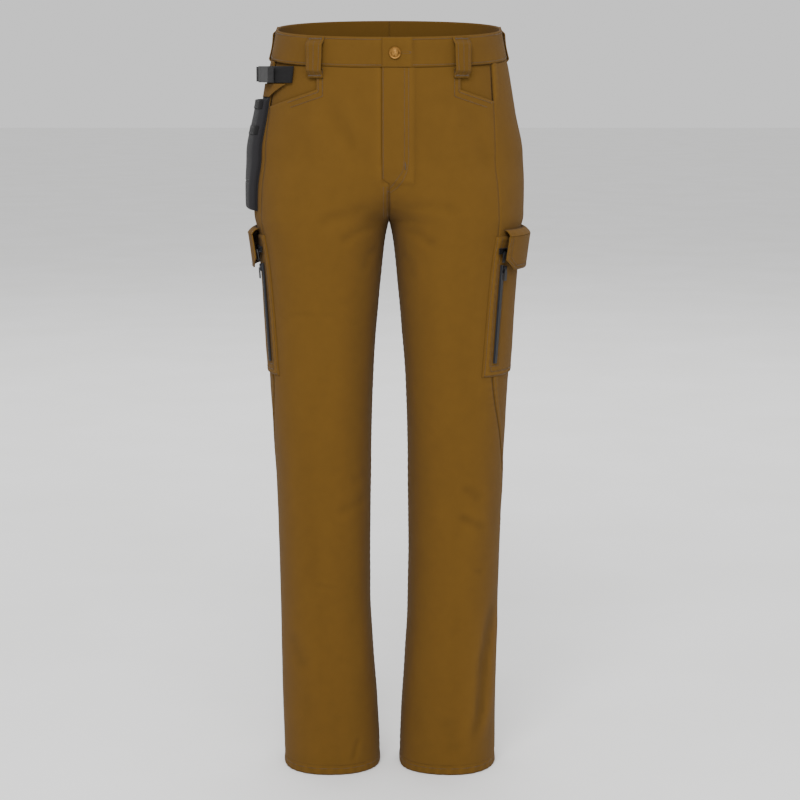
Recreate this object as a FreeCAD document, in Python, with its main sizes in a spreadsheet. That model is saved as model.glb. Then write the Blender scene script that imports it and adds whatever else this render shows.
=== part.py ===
import FreeCAD, Part

# Straight-cut work trousers with cargo pockets and a clip-on tool holster.
# The origin is the centre of the waist opening.  +Z is up, -Y is the front
# and +X is the wearer's left.  Lengths are in millimetres.

import os
from math import atan2, cos, degrees, pi, radians, sin

import Sketcher

doc = FreeCAD.newDocument("WorkTrousers")
Vector = FreeCAD.Vector
UP = Vector(0, 0, 1)

# ---------------------------------------------------------------- sizes
SIZES = {
    # the garment: how far each level lies below the waist, where the middle
    # of the leg or trunk lies, half its width, and its front and back depth
    "waist_mid": 0, "waist_half": 161.5, "waist_front": 113, "waist_back": 113,
    "yoke_drop": 60, "yoke_mid": 0, "yoke_half": 173, "yoke_front": 112, "yoke_back": 121,
    "hip_drop": 120, "hip_mid": 0, "hip_half": 184, "hip_front": 110, "hip_back": 131,
    "seat_drop": 180, "seat_mid": 0, "seat_half": 195, "seat_front": 107, "seat_back": 139,
    "fork_drop": 225, "fork_mid": 61, "fork_half": 136, "fork_front": 105, "fork_back": 135,
    "rise_drop": 255, "rise_mid": 86, "rise_half": 110.5, "rise_front": 103, "rise_back": 129,
    "crotch_drop": 275, "crotch_mid": 97.5, "crotch_half": 97.5, "crotch_front": 101,
    "crotch_back": 122,
    "thigh_drop": 330, "thigh_mid": 97.5, "thigh_half": 88, "thigh_front": 96,
    "thigh_back": 110,
    "lower_drop": 500, "lower_mid": 99.5, "lower_half": 76.5, "lower_front": 87,
    "lower_back": 89,
    "knee_drop": 640, "knee_mid": 98, "knee_half": 70.5, "knee_front": 82, "knee_back": 80,
    "shin_drop": 850, "shin_mid": 94.5, "shin_half": 67.5, "shin_front": 77, "shin_back": 79,
    "hem_drop": 1095, "hem_mid": 87, "hem_half": 72, "hem_front": 74, "hem_back": 76,
    "roundness": 2.25, "trunk_lap": 110,
    # cloth
    "cloth": 2.0, "waist_tilt": 0.115, "band_height": 42, "band_proud": 1.5,
    "band_inner": 2.6, "band_lining": 1.1, "hem_height": 13, "hem_thick": 3.4,
    "fly_overlap": 9, "fly_end": 215, "inseam_back": 5,
    "front_seam_left": 57, "front_seam_right": 36, "back_seam": 52,
    "yoke_side": 84, "yoke_slope": 0.16,
    # belt loops
    "loop_width": 26, "loop_height": 56, "loop_cloth": 2.2, "loop_gap": 7, "loop_foot": 7,
    "loop_front_x": 100, "loop_side_angle": 14, "loop_back_x": 82,
    # front pockets
    "scoop_x": 101, "scoop_corner": 86, "scoop_side": 114, "facing_depth": 150,
    "bag_depth": 270, "bag_inner_x": 48, "pocket_gap": 0.3, "facing_cloth": 1.5,
    "bag_cloth": 1.0,
    # back pockets
    "patch_inner_x": 44, "patch_width": 104, "patch_top": 128, "patch_height": 150,
    "patch_cloth": 1.4, "patch_point": 18,
    # fly and waist button
    "zip_x": 6, "zip_below": 16, "zip_length": 140, "zip_tape": 26, "tape_cloth": 0.8,
    "chain_width": 4.4, "chain_height": 1.8, "slider_length": 10, "slider_width": 7.6,
    "slider_wall": 1.1, "run_clearance": 0.35, "shield_width": 44, "shield_cloth": 1.6,
    "pull_room": 2.4,
    "button_x": 9, "button_drop": 22, "button_size": 17, "button_height": 4.2,
    "shank_size": 5, "shank_play": 0.06, "tack_size": 10,
    # thigh pockets
    "cargo_top": 292.5, "cargo_height": 204, "cargo_width": 146, "cargo_thick": 3.0,
    "cargo_cloth": 1.2, "cargo_seam": 9, "cargo_face_left": 11, "cargo_face_right": -13,
    "flap_height": 49, "flap_inset": 10, "flap_chamfer": 15, "flap_cloth": 1.6,
    "flap_gap": 10.4, "flap_band": 9, "flap_clearance": 0.5, "flap_open": 100,
    "side_zip_inset": 13, "side_zip_top": 334, "side_zip_length": 142, "side_tape": 9,
    "mouth_drop": 314, "mouth_tape": 9, "mouth_front": 45, "mouth_back": 30,
    "pull_length": 16, "pull_width": 5.4, "pull_thick": 1.4,
    # holster
    "pouch_front": 46, "pouch_width": 120, "pouch_top": 101, "pouch_height": 158,
    "pouch_gap": 0.5, "pouch_cloth": 1.4, "pouch_room": 8, "backer_top": 82,
    "rib_height": 12, "rib_thick": 1.2, "rib_drop": 37, "tab_front": 72, "tab_back": 22,
    "strap_below": 11.5, "strap_height": 23, "strap_thick": 1.8, "strap_front": 86,
    "strap_back": 14, "buckle_length": 30, "buckle_thick": 9, "buckle_wall": 1.8,
    "plug_length": 26, "webbing_length": 40, "buckle_lift": 4.5,
}

sheet = doc.addObject("Spreadsheet::Sheet", "Sizes")
for row, (alias, value) in enumerate(SIZES.items(), start=1):
    sheet.set("A%d" % row, alias)
    sheet.set("B%d" % row, str(value))
    sheet.setAlias("B%d" % row, alias)
doc.recompute()


def size(alias):
    """The current value of one cell of the sheet."""
    return float(getattr(sheet, alias))


# ---------------------------------------------------------------- helpers
def oval(height, mid, inner, half, front, back):
    """A closed rounded outline of the trunk or a leg, level at one height."""
    power = 2 / size("roundness")
    points = []
    for step in range(20):
        turn = 2 * pi * step / 20
        across = abs(cos(turn)) ** power
        along = abs(sin(turn)) ** power
        side = half * across if cos(turn) >= 0 else -inner * across
        reach = along * back if sin(turn) >= 0 else -along * front
        points.append(Vector(mid + side, reach, height))
    curve = Part.BSplineCurve()
    curve.interpolate(Points=points, PeriodicFlag=True)
    return Part.Wire(curve.toShape())


LEVELS = ["waist", "yoke", "hip", "seat", "fork", "rise", "crotch", "thigh", "lower",
          "knee", "shin", "hem"]
OVERRUN = 55
TRUNK_STEPS = 5
LEG_STEPS = 15
skins = {}


def level_sizes(name):
    """Drop, middle, inner and outer half width, front and back depth of a level."""
    drop = 0 if name == "waist" else size(name + "_drop")
    mid, half = size(name + "_mid"), size(name + "_half")
    inner = half if mid > 0 else size("trunk_lap")
    return [drop, mid, inner, half, size(name + "_front"), size(name + "_back")]


def slope(before, here, after, which):
    """The steepness at a level that never swings past its neighbours."""
    rise = (here[which] - before[which]) / (here[0] - before[0])
    run = (after[which] - here[which]) / (after[0] - here[0])
    if rise * run <= 0:
        return 0
    return 2 * rise * run / (rise + run)


def sizes_at(drop):
    """The outline's sizes at any drop, eased smoothly between the levels."""
    rows = [level_sizes(name) for name in LEVELS]
    drop = min(max(drop, 0), rows[-1][0])
    index = max(i for i in range(len(rows) - 1) if rows[i][0] <= drop)
    low, high = rows[index], rows[index + 1]
    span = high[0] - low[0]
    part = (drop - low[0]) / span
    eased = []
    for which in range(1, 6):
        first = slope(rows[index - 1], low, high, which) if index > 0 else 0
        last = slope(low, high, rows[index + 2], which) if index + 2 < len(rows) else 0
        eased.append((2 * part ** 3 - 3 * part ** 2 + 1) * low[which]
                     + (part ** 3 - 2 * part ** 2 + part) * span * first
                     + (3 * part ** 2 - 2 * part ** 3) * high[which]
                     + (part ** 3 - part ** 2) * span * last)
    return eased


def skin(inset):
    """The solid inside the garment's surface, drawn in by inset all round."""
    if inset not in skins:
        crotch, foot = size("crotch_drop"), size("hem_drop")
        drops = [-OVERRUN - inset]
        drops += [crotch * step / TRUNK_STEPS for step in range(TRUNK_STEPS)]
        drops += [crotch + (foot - crotch) * step / LEG_STEPS for step in range(LEG_STEPS + 1)]
        drops.append(foot + OVERRUN + inset)
        wires = []
        for drop in drops:
            mid, inner, half, front, back = sizes_at(drop)
            wires.append(oval(-drop, mid, inner - inset, half - inset, front - inset,
                              back - inset))
        skins[inset] = Part.makeLoft(wires, True, True)
    return skins[inset]


def layer(outer, inner, space):
    """The shell between two insets of the garment's surface, within a space."""
    return space.common(skin(outer)).cut(skin(inner))


def block(low_x, high_x, low_y, high_y, low_z, high_z):
    """A plain box given by its limits."""
    corner = Vector(low_x, low_y, low_z)
    return Part.makeBox(high_x - low_x, high_y - low_y, high_z - low_z, corner)


def below_rim(top, bottom):
    """The slab between two drops below the tilted rim of the waist."""
    slab = block(-400, 400, -400, 400, -bottom, -top)
    slab.rotate(Vector(0, 0, 0), Vector(1, 0, 0), degrees(atan2(size("waist_tilt"), 1)))
    return slab


def plan_prism(corners, low, high):
    """A prism whose outline is given in plan."""
    points = [Vector(x, y, low) for x, y in corners]
    face = Part.Face(Part.makePolygon(points + points[:1]))
    return face.extrude(Vector(0, 0, high - low))


def facing_prism(corners, turn, reach=260):
    """A prism out from the leg's axis; turn is its angle forward of the side.

    Corners are (distance towards the back, height)."""
    axis = Vector(size("lower_mid"), 0, 0)
    out = Vector(cos(turn), -sin(turn), 0)
    along = Vector(sin(turn), cos(turn), 0)
    points = [axis + along * across + UP * height for across, height in corners]
    face = Part.Face(Part.makePolygon(points + points[:1]))
    return face.extrude(out * reach)


def mirrored(shape):
    """The shape on the other side of the garment."""
    return shape.mirror(Vector(0, 0, 0), Vector(1, 0, 0))


def hit(inset, start, direction):
    """Where a straight line from inside leaves the garment's surface."""
    ray = Part.makeLine(start, start + direction * 400)
    inside = skin(inset).common(ray)
    return max((v.Point for v in inside.Vertexes), key=lambda p: (p - start).dot(direction))


parts = {}


def tidy(shape):
    """The single solid of a shape."""
    solids = sorted(shape.Solids, key=lambda s: s.Volume)
    return solids[-1]


def soft(label, shape, side=1):
    """A soft piece cut from the garment's surface, set as a finished shape."""
    solid = tidy(shape)
    piece = doc.addObject("Part::Feature", label)
    piece.Shape = mirrored(solid) if side < 0 else solid
    piece.Label = label
    parts[label] = piece
    return piece


def frame_at(point, out, along, side=1):
    """A placement with local X outward and local Z along the piece."""
    point, out, along = [Vector(v.x * side, v.y, v.z) for v in (point, out, along)]
    return FreeCAD.Placement(point, FreeCAD.Rotation(out, along.cross(out), along, "XZY"))


def outline_sketch(body, corners, role):
    """A closed sketch; each corner is a pair of expressions from the origin."""
    plane = [f for f in body.Origin.OriginFeatures if f.Role == role][0]
    sketch = body.newObject("Sketcher::SketchObject", body.Name + "_outline")
    sketch.AttachmentSupport = (plane, "")
    sketch.MapMode = "FlatFace"
    doc.recompute()
    pairs = [[float(sheet.evalExpression(text)) for text in pair] for pair in corners]
    points = [Vector(across, up, 0) for across, up in pairs]
    count = len(points)
    for index in range(count):
        sketch.addGeometry(Part.LineSegment(points[index], points[(index + 1) % count]), False)
    for index in range(count):
        joined = Sketcher.Constraint("Coincident", index, 2, (index + 1) % count, 1)
        sketch.addConstraint(joined)
    for index, pair in enumerate(corners):
        for axis, kind in enumerate(("DistanceX", "DistanceY")):
            fixed = Sketcher.Constraint(kind, -1, 1, index, 1, pairs[index][axis])
            number = sketch.addConstraint(fixed)
            sketch.setExpression("Constraints[%d]" % number, pair[axis])
    return sketch


def padded_body(label, corners, length, role="XY_Plane"):
    """A body made by padding an outline to both sides of its sketch."""
    body = doc.addObject("PartDesign::Body", label)
    sketch = outline_sketch(body, corners, role)
    pad = body.newObject("PartDesign::Pad", label + "_pad")
    pad.Profile = sketch
    pad.Midplane = True
    pad.setExpression("Length", length)
    body.Label = label
    parts[label] = body
    return body


def turned_body(label, corners):
    """A body made by turning an outline about its own upright axis."""
    body = doc.addObject("PartDesign::Body", label)
    sketch = outline_sketch(body, corners, "XY_Plane")
    turned = body.newObject("PartDesign::Revolution", label + "_turned")
    turned.Profile = sketch
    turned.ReferenceAxis = (sketch, ["V_Axis"])
    turned.Angle = 360
    body.Label = label
    parts[label] = body
    return body


def fitted(label, base, tool):
    """The base piece, cut back to where the garment's surface begins."""
    del parts[base.Label]
    base.Label = label + "_blank"
    core = doc.addObject("Part::Feature", label + "_core")
    core.Shape = tool
    cut = doc.addObject("Part::Cut", label + "_fitted")
    cut.Base = base
    cut.Tool = core
    cut.Label = label
    parts[label] = cut
    return cut


# ---------------------------------------------------------------- cloth
CLOTH = size("cloth")
PROUD = size("band_proud")
HEM = size("hem_drop")
AXIS_X = size("lower_mid")
BAND_DROP = size("band_height")
HEM_TOP = -HEM + size("hem_height")
FRONT_DIP = size("waist_tilt") * size("waist_front")
ZIP_LIFT = 1.6
MOUTH_LIFT = 2.2
TEETH_SINK = 0.4


def closed_front(side):
    """The half's own space at the front, where the left half laps over."""
    lap = size("fly_overlap") * side
    above = block(-lap, 400, -400, 0, -size("fly_end"), OVERRUN)
    below = block(0, 400, -400, 0, -HEM - 10, -size("fly_end"))
    return above.fuse(below).fuse(block(0, 400, 0, 400, -HEM - 10, OVERRUN))


def sector(start, end):
    """Plan corners of the wedge between two angles, measured back from the front."""
    middle = (AXIS_X, size("inseam_back"))
    corners = [middle]
    steps = 4
    for step in range(steps + 1):
        turn = radians(start + (end - start) * step / steps)
        corners.append((middle[0] + 600 * sin(turn), middle[1] - 600 * cos(turn)))
    return corners


def trouser_panels():
    """The front, side and back panels and the back yokes of both legs."""
    space = below_rim(BAND_DROP, HEM + 60)
    cloth = layer(0, CLOTH, space.common(block(-400, 400, -400, 400, HEM_TOP, OVERRUN)))
    back_turn = 90 + size("back_seam")
    for side, word in ((1, "left"), (-1, "right")):
        front_turn = 90 - size("front_seam_" + word)
        half = cloth.common(closed_front(side))
        front = half.common(plan_prism(sector(-90, front_turn), -HEM, OVERRUN))
        scoop = pocket_scoop(front_turn)
        soft("front_panel_" + word, front.cut(scoop), side)
        soft("side_panel_" + word,
             half.common(plan_prism(sector(front_turn, back_turn), -HEM, OVERRUN)), side)
        back = half.common(plan_prism(sector(back_turn, 270), -HEM, OVERRUN))
        yoke = yoke_space()
        soft("yoke_" + word, back.common(yoke), side)
        soft("back_panel_" + word, back.cut(yoke), side)


def pocket_scoop(front_turn):
    """The corner cut from a front panel to open the front pocket."""
    inner = size("scoop_x")
    corner = -size("scoop_corner")
    outer = inner + 120
    points = [Vector(inner, -400, 0), Vector(inner, -400, corner),
              Vector(outer, -400, corner - (size("scoop_side") - size("scoop_corner")) * 1.5),
              Vector(outer, -400, 0)]
    face = Part.Face(Part.makePolygon(points + points[:1]))
    return face.extrude(Vector(0, 400, 0))


def yoke_space():
    """The space above the sloping seam below the back yoke."""
    fall = size("yoke_slope")
    side_z = -size("yoke_side")
    reach = 220
    points = [Vector(-50, 0, side_z - fall * (reach + 50)), Vector(reach, 0, side_z),
              Vector(reach, 0, OVERRUN), Vector(-50, 0, OVERRUN)]
    face = Part.Face(Part.makePolygon(points + points[:1]))
    return face.extrude(Vector(0, 400, 0))


def waistband():
    """The outer waistband and its lining, with the hole for the button."""
    outer = layer(-PROUD, size("band_lining"), below_rim(0, BAND_DROP))
    inner = layer(size("band_lining"), size("band_inner"), below_rim(0, BAND_DROP))
    hole = button_hole()
    for side, word in ((1, "left"), (-1, "right")):
        half = closed_front(side)
        drill = hole if side > 0 else mirrored(hole)
        soft("waistband_" + word, outer.common(half).cut(drill), side)
        soft("waistband_lining_" + word, inner.common(half).cut(drill), side)


def hems():
    """The turned-up hem at the foot of each leg."""
    ring = layer(0, size("hem_thick"), block(0, 400, -400, 400, -HEM, HEM_TOP))
    for side, word in ((1, "left"), (-1, "right")):
        soft("hem_" + word, ring, side)


def front_pockets():
    """The facing seen in each front pocket, and the bag behind the panel."""
    near = CLOTH + size("pocket_gap")
    middle = near + size("facing_cloth")
    behind = middle + size("pocket_gap")
    below_band = below_rim(BAND_DROP + 1, HEM)
    for side, word in ((1, "left"), (-1, "right")):
        turn = 90 - size("front_seam_" + word)
        wedge = plan_prism(sector(-10, turn), -HEM, OVERRUN)
        low = -size("facing_depth")
        seen = block(size("scoop_x") - 14, 400, -400, 0, low, OVERRUN).common(wedge)
        soft("pocket_facing_" + word, layer(near, middle, below_band.common(seen)), side)
        held = block(size("bag_inner_x"), 400, -400, 0, -size("bag_depth"), OVERRUN)
        held = held.common(plan_prism(sector(-50, turn), -HEM, OVERRUN))
        held = below_band.common(held)
        soft("pocket_bag_" + word, layer(behind, behind + size("bag_cloth"), held), side)


def back_pockets():
    """A pointed patch pocket on each side of the seat."""
    low = -size("patch_top") - size("patch_height")
    inner = size("patch_inner_x")
    outer = inner + size("patch_width")
    points = [(inner, -size("patch_top")), (outer, -size("patch_top")),
              (outer, low + size("patch_point")), ((inner + outer) / 2, low),
              (inner, low + size("patch_point"))]
    corners = [Vector(x, 0, z) for x, z in points]
    prism = Part.Face(Part.makePolygon(corners + corners[:1])).extrude(Vector(0, 400, 0))
    patch = layer(-size("patch_cloth"), 0, prism)
    for side, word in ((1, "left"), (-1, "right")):
        soft("back_pocket_" + word, patch, side)


# ---------------------------------------------------------------- belt loops
def belt_loops():
    """Seven loops that stand off the waistband far enough for a belt."""
    band = skin(-PROUD).common(below_rim(-OVERRUN, BAND_DROP))
    core = band.fuse(skin(0).common(below_rim(BAND_DROP, 120)))
    width = size("loop_front_x")
    back = size("loop_back_x")
    side_turn = radians(size("loop_side_angle"))
    side_reach = Vector(cos(side_turn), sin(side_turn), 0)
    spots = [("front_left", Vector(width, 0, 0), Vector(0, -1, 0), 1),
             ("front_right", Vector(width, 0, 0), Vector(0, -1, 0), -1),
             ("side_left", Vector(0, 0, 0), side_reach, 1),
             ("side_right", Vector(0, 0, 0), side_reach, -1),
             ("back_left", Vector(back, 0, 0), Vector(0, 1, 0), 1),
             ("back_right", Vector(back, 0, 0), Vector(0, 1, 0), -1),
             ("centre_back", Vector(0, 0, 0), Vector(0, 1, 0), 1)]
    for word, start, direction, side in spots:
        label = "belt_loop_" + word
        corners = [("-2", "0"), ("Sizes.loop_gap + Sizes.loop_cloth", "0"),
                   ("Sizes.loop_gap + Sizes.loop_cloth", "Sizes.loop_height"),
                   ("-2", "Sizes.loop_height"),
                   ("-2", "Sizes.loop_height - Sizes.loop_foot"),
                   ("Sizes.loop_gap", "Sizes.loop_height - Sizes.loop_foot"),
                   ("Sizes.loop_gap", "Sizes.loop_foot"), ("-2", "Sizes.loop_foot")]
        blank = padded_body(label, corners, "Sizes.loop_width")
        middle = start + UP * -20
        here = hit(-PROUD, middle, direction)
        aside = UP.cross(direction) * 3
        ahead = hit(-PROUD, middle + aside, direction)
        under = hit(-PROUD, middle - UP * 20, direction)
        along = (ahead - here).normalize()
        along = Vector(along.x, along.y, 0).normalize()
        out = along.cross(UP)
        slope = (under - here).dot(out) / 20
        upward = (UP - out * slope).normalize()
        out = along.cross(upward)
        rim = size("waist_tilt") * here.y
        low = rim - size("loop_height") - 2
        point = here + upward * ((low - here.z) / upward.z)
        blank.Placement = FreeCAD.Placement(
            Vector(point.x * side, point.y, point.z),
            FreeCAD.Rotation(Vector(out.x * side, out.y, out.z),
                             Vector(upward.x * side, upward.y, upward.z),
                             Vector(0, 0, 0), "XYZ"))
        if word == "centre_back":
            fitted(label, blank, core.fuse(mirrored(core)))
        else:
            fitted(label, blank, core if side > 0 else mirrored(core))


# ---------------------------------------------------------------- zips
def slider_body(label):
    """A zip slider: a channel that straddles the teeth."""
    half_in = "Sizes.chain_width / 2 + Sizes.run_clearance"
    roof = "Sizes.chain_height + Sizes.run_clearance"
    top = roof + " + Sizes.slider_wall"
    foot = "Sizes.run_clearance"
    corners = [(foot, "-Sizes.slider_width / 2"), (foot, "-(" + half_in + ")"),
               (roof, "-(" + half_in + ")"), (roof, half_in), (foot, half_in),
               (foot, "Sizes.slider_width / 2"), (top, "Sizes.slider_width / 2"),
               (top, "-Sizes.slider_width / 2")]
    return padded_body(label, corners, "Sizes.slider_length")


def pull_body(label):
    """A zip pull, hanging from its pivot at the local origin."""
    corners = [("-Sizes.pull_width * 0.3", "0"), ("Sizes.pull_width * 0.3", "0"),
               ("Sizes.pull_width / 2", "-Sizes.pull_length * 0.3"),
               ("Sizes.pull_width / 2", "-Sizes.pull_length"),
               ("-Sizes.pull_width / 2", "-Sizes.pull_length"),
               ("-Sizes.pull_width / 2", "-Sizes.pull_length * 0.3")]
    return padded_body(label, corners, "Sizes.pull_thick", role="YZ_Plane")


def straight_zip(label, start, finish, out, lift, width, keep_out, side=1):
    """A zip laid straight from start to finish, with its slider and pull."""
    along = (finish - start).normalize()
    across = along.cross(out).normalize()
    out = across.cross(along)
    length = (finish - start).Length
    tape_low = start - across * width / 2 - out * 3
    corners = [tape_low, tape_low + across * width,
               tape_low + across * width + out * (3 + lift), tape_low + out * (3 + lift)]
    tape = Part.Face(Part.makePolygon(corners + corners[:1])).extrude(along * length)
    tape = tape.cut(keep_out)
    teeth_half = size("chain_width") / 2
    teeth_low = start + out * (lift - TEETH_SINK) - across * teeth_half
    height = size("chain_height") + TEETH_SINK
    corners = [teeth_low, teeth_low + across * teeth_half * 2,
               teeth_low + across * teeth_half * 2 + out * height, teeth_low + out * height]
    teeth = Part.Face(Part.makePolygon(corners + corners[:1])).extrude(along * length)
    soft(label, tape.fuse(teeth), side)
    half_slider = size("slider_length") / 2
    seat = start + out * lift + along * (half_slider + 1)
    slider = slider_body(label + "_slider")
    slider.Placement = frame_at(seat, out, along * -1, side)
    roof = size("chain_height") + size("run_clearance") + size("slider_wall")
    pivot = seat + out * (roof + size("run_clearance") + size("pull_thick") / 2)
    pull = pull_body(label + "_pull")
    pull.Placement = frame_at(pivot, out, along * -1, side)


def fly():
    """The zip behind the fly lap, and the shield behind the zip."""
    x = size("zip_x")
    top = Vector(x, 0, -BAND_DROP - size("zip_below"))
    low = top - UP * size("zip_length")
    front = Vector(0, -1, 0)
    start = hit(CLOTH, top, front)
    finish = hit(CLOTH, low, front)
    lift = ZIP_LIFT
    panel = layer(0, CLOTH, block(-40, 60, -400, 0, low.z - 20, top.z + 20))
    straight_zip("fly_zip", start, finish, front * -1, lift, size("zip_tape"), panel)
    back_off = lift + size("chain_height") + size("slider_wall") + size("pull_thick")
    inner = CLOTH + back_off + 3 * size("run_clearance") + size("pull_room")
    outer = inner + size("shield_cloth")
    half = size("shield_width") / 2
    wall = 2.0
    reach = block(x - half, x + half, -400, 0, low.z - 8, top.z + 1)
    room = block(x - half + wall, x + half + 1, -400, 0, low.z - 9, top.z + 2)
    shield = layer(CLOTH, outer, reach).cut(layer(-5, inner, room))
    soft("fly_shield", shield)


def button_hole():
    """The drilling through the waistband for the shank of the button."""
    radius = size("shank_size") / 2
    start = Vector(size("button_x"), 0, -size("button_drop") - FRONT_DIP)
    return Part.makeCylinder(radius, 400, start, Vector(0, -1, 0))


def waist_button():
    """A domed metal button that turns on the shank of its tack."""
    middle = Vector(size("button_x"), 0, -size("button_drop") - FRONT_DIP)
    front = Vector(0, -1, 0)
    seat = hit(-PROUD, middle, front)
    behind = size("band_inner") + PROUD
    tack = turned_body("button_tack", [
        ("0", "0"), ("Sizes.tack_size / 2", "0"), ("Sizes.tack_size / 2", "1.2"),
        ("Sizes.shank_size / 2", "1.2"),
        ("Sizes.shank_size / 2", "1.8 + Sizes.band_inner + Sizes.band_proud + 3"),
        ("0", "1.8 + Sizes.band_inner + Sizes.band_proud + 3")])
    flat = FreeCAD.Rotation(Vector(1, 0, 0), front, Vector(0, 0, 1), "YXZ")
    tack.Placement = FreeCAD.Placement(seat - front * (behind + 1.8), flat)
    bore = "Sizes.shank_size / 2 + Sizes.shank_play"
    rim = "Sizes.button_size / 2"
    cap = turned_body("button_cap", [
        ("0", "3.1"), (bore, "3.1"), (bore, "0"), (rim + " - 0.6", "0"), (rim, "0.7"),
        (rim, "2"), (rim + " - 0.9", "2.9"), (rim + " - 2", "2.7"),
        ("Sizes.button_size / 4", "Sizes.button_height"), ("0", "Sizes.button_height + 0.4")])
    cap.Placement = FreeCAD.Placement(seat + front * 0.6, flat)


# ---------------------------------------------------------------- thigh pockets
def rectangle(low_along, high_along, low, high):
    """Corners of an upright outline for facing_prism."""
    return [(low_along, low), (high_along, low), (high_along, high), (low_along, high)]


def cargo_pocket(word, side):
    """A closed pocket on the thigh with its sewn band and loose flap."""
    turn = radians(size("cargo_face_" + word))
    half = size("cargo_width") / 2
    top = -size("cargo_top")
    low = top - size("cargo_height")
    thick = size("cargo_thick")
    seam = size("cargo_seam")
    outline = facing_prism(rectangle(-half, half, low, top), turn)
    hollow = facing_prism(rectangle(-half + seam, half - seam, low + seam, top - seam), turn)
    pocket = layer(-thick, 0, outline)
    pocket = pocket.cut(skin(-thick + size("cargo_cloth")).common(hollow))
    soft("cargo_pocket_" + word, pocket, side)
    near = -size("flap_gap") - thick
    far = near - size("flap_cloth")
    edge = -half + size("flap_inset")
    strip = facing_prism(rectangle(edge, half, top, top + size("flap_band")), turn)
    soft("cargo_flap_band_" + word, layer(far, 0, strip), side)
    chamfer = size("flap_chamfer")
    hem = top - size("flap_height")
    head = top - size("flap_clearance")
    corners = [(edge, head), (half, head), (half, hem), (edge + chamfer, hem),
               (edge, hem + chamfer)]
    soft("cargo_flap_" + word, layer(far, near, facing_prism(corners, turn)), side)


def cargo_side_zip(word, side):
    """The long zip down the front edge of a thigh pocket."""
    turn = radians(size("cargo_face_" + word))
    out = Vector(cos(turn), -sin(turn), 0)
    along = Vector(sin(turn), cos(turn), 0)
    offset = -size("cargo_width") / 2 + size("side_zip_inset")
    thick = size("cargo_thick")
    ends = []
    for drop in (size("side_zip_top"), size("side_zip_top") + size("side_zip_length")):
        start = Vector(AXIS_X, 0, -drop) + along * offset
        ends.append(hit(-thick, start, out))
    aside = Vector(AXIS_X, 0, ends[0].z) + along * (offset + 3)
    tangent = (hit(-thick, aside, out) - ends[0]).normalize()
    normal = UP.cross(tangent) * -1
    straight_zip("side_zip_" + word, ends[0], ends[1], normal, ZIP_LIFT, size("side_tape"),
                 skin(-thick), side)


def circle_through(first, second, third):
    """Centre and radius in plan of the circle through three points."""
    circle = Part.Arc(first, second, third).toShape().Curve
    return circle.Center, circle.Radius


def cargo_mouth_zip(word, side):
    """The curved zip across the mouth of a thigh pocket, under its flap."""
    face = size("cargo_face_" + word)
    level = Vector(AXIS_X, 0, -size("mouth_drop"))
    thick = size("cargo_thick")
    spots = []
    for angle in (face + size("mouth_front"), face + 8, face - size("mouth_back")):
        out = Vector(cos(radians(angle)), -sin(radians(angle)), 0)
        spots.append(hit(-thick, level, out))
    centre, radius = circle_through(*spots)
    first = degrees(atan2(spots[0].y - centre.y, spots[0].x - centre.x))
    last = degrees(atan2(spots[2].y - centre.y, spots[2].x - centre.x))
    lift = MOUTH_LIFT

    def ring(low, high, tall, begin, end):
        base = Vector(centre.x, centre.y, centre.z - tall / 2)
        whole = Part.makeCylinder(radius + high, tall, base, UP, end - begin)
        whole = whole.cut(Part.makeCylinder(radius + low, tall, base, UP, 360))
        whole.rotate(centre, UP, begin)
        return whole

    tall = size("mouth_tape")
    chain = size("chain_height")
    tape = ring(-4, lift, tall, first, last).cut(skin(-thick - 0.02))
    teeth = ring(lift - TEETH_SINK, lift + chain, size("chain_width"), first, last)
    soft("mouth_zip_" + word, tape.fuse(teeth), side)
    play = size("run_clearance")
    arc = degrees(size("slider_length") / radius)
    begin = first + degrees(1.5 / radius)
    roof = lift + chain + play
    shell = ring(lift + play, roof + size("slider_wall"), size("slider_width"), begin, begin + arc)
    bore = ring(lift, roof, size("chain_width") + 2 * play, begin - 5, begin + arc + 5)
    soft("mouth_zip_%s_slider" % word, shell.cut(bore), side)
    middle = radians(begin + arc / 2)
    out = Vector(cos(middle), sin(middle), 0)
    drop = size("pull_length")
    lean = 0
    for angle in (face + size("mouth_front"), face - size("mouth_back")):
        end = Vector(cos(radians(angle)), -sin(radians(angle)), 0)
        taper = hit(-thick, level, end) - hit(-thick, level - UP * drop, end)
        lean += taper.dot(end) / 2
    room = play + abs(lean) / drop * size("slider_width") / 2
    lift_off = roof + size("slider_wall") + room + size("pull_thick") / 2
    upward = (UP * drop + out * lean).normalize()
    outward = (out * drop - UP * lean).normalize()
    pull = pull_body("mouth_zip_%s_pull" % word)
    pull.Placement = frame_at(centre + out * (radius + lift_off), outward, upward, side)
    pivots["mouth_zip_" + word] = (centre, radius)


pivots = {}


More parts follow.
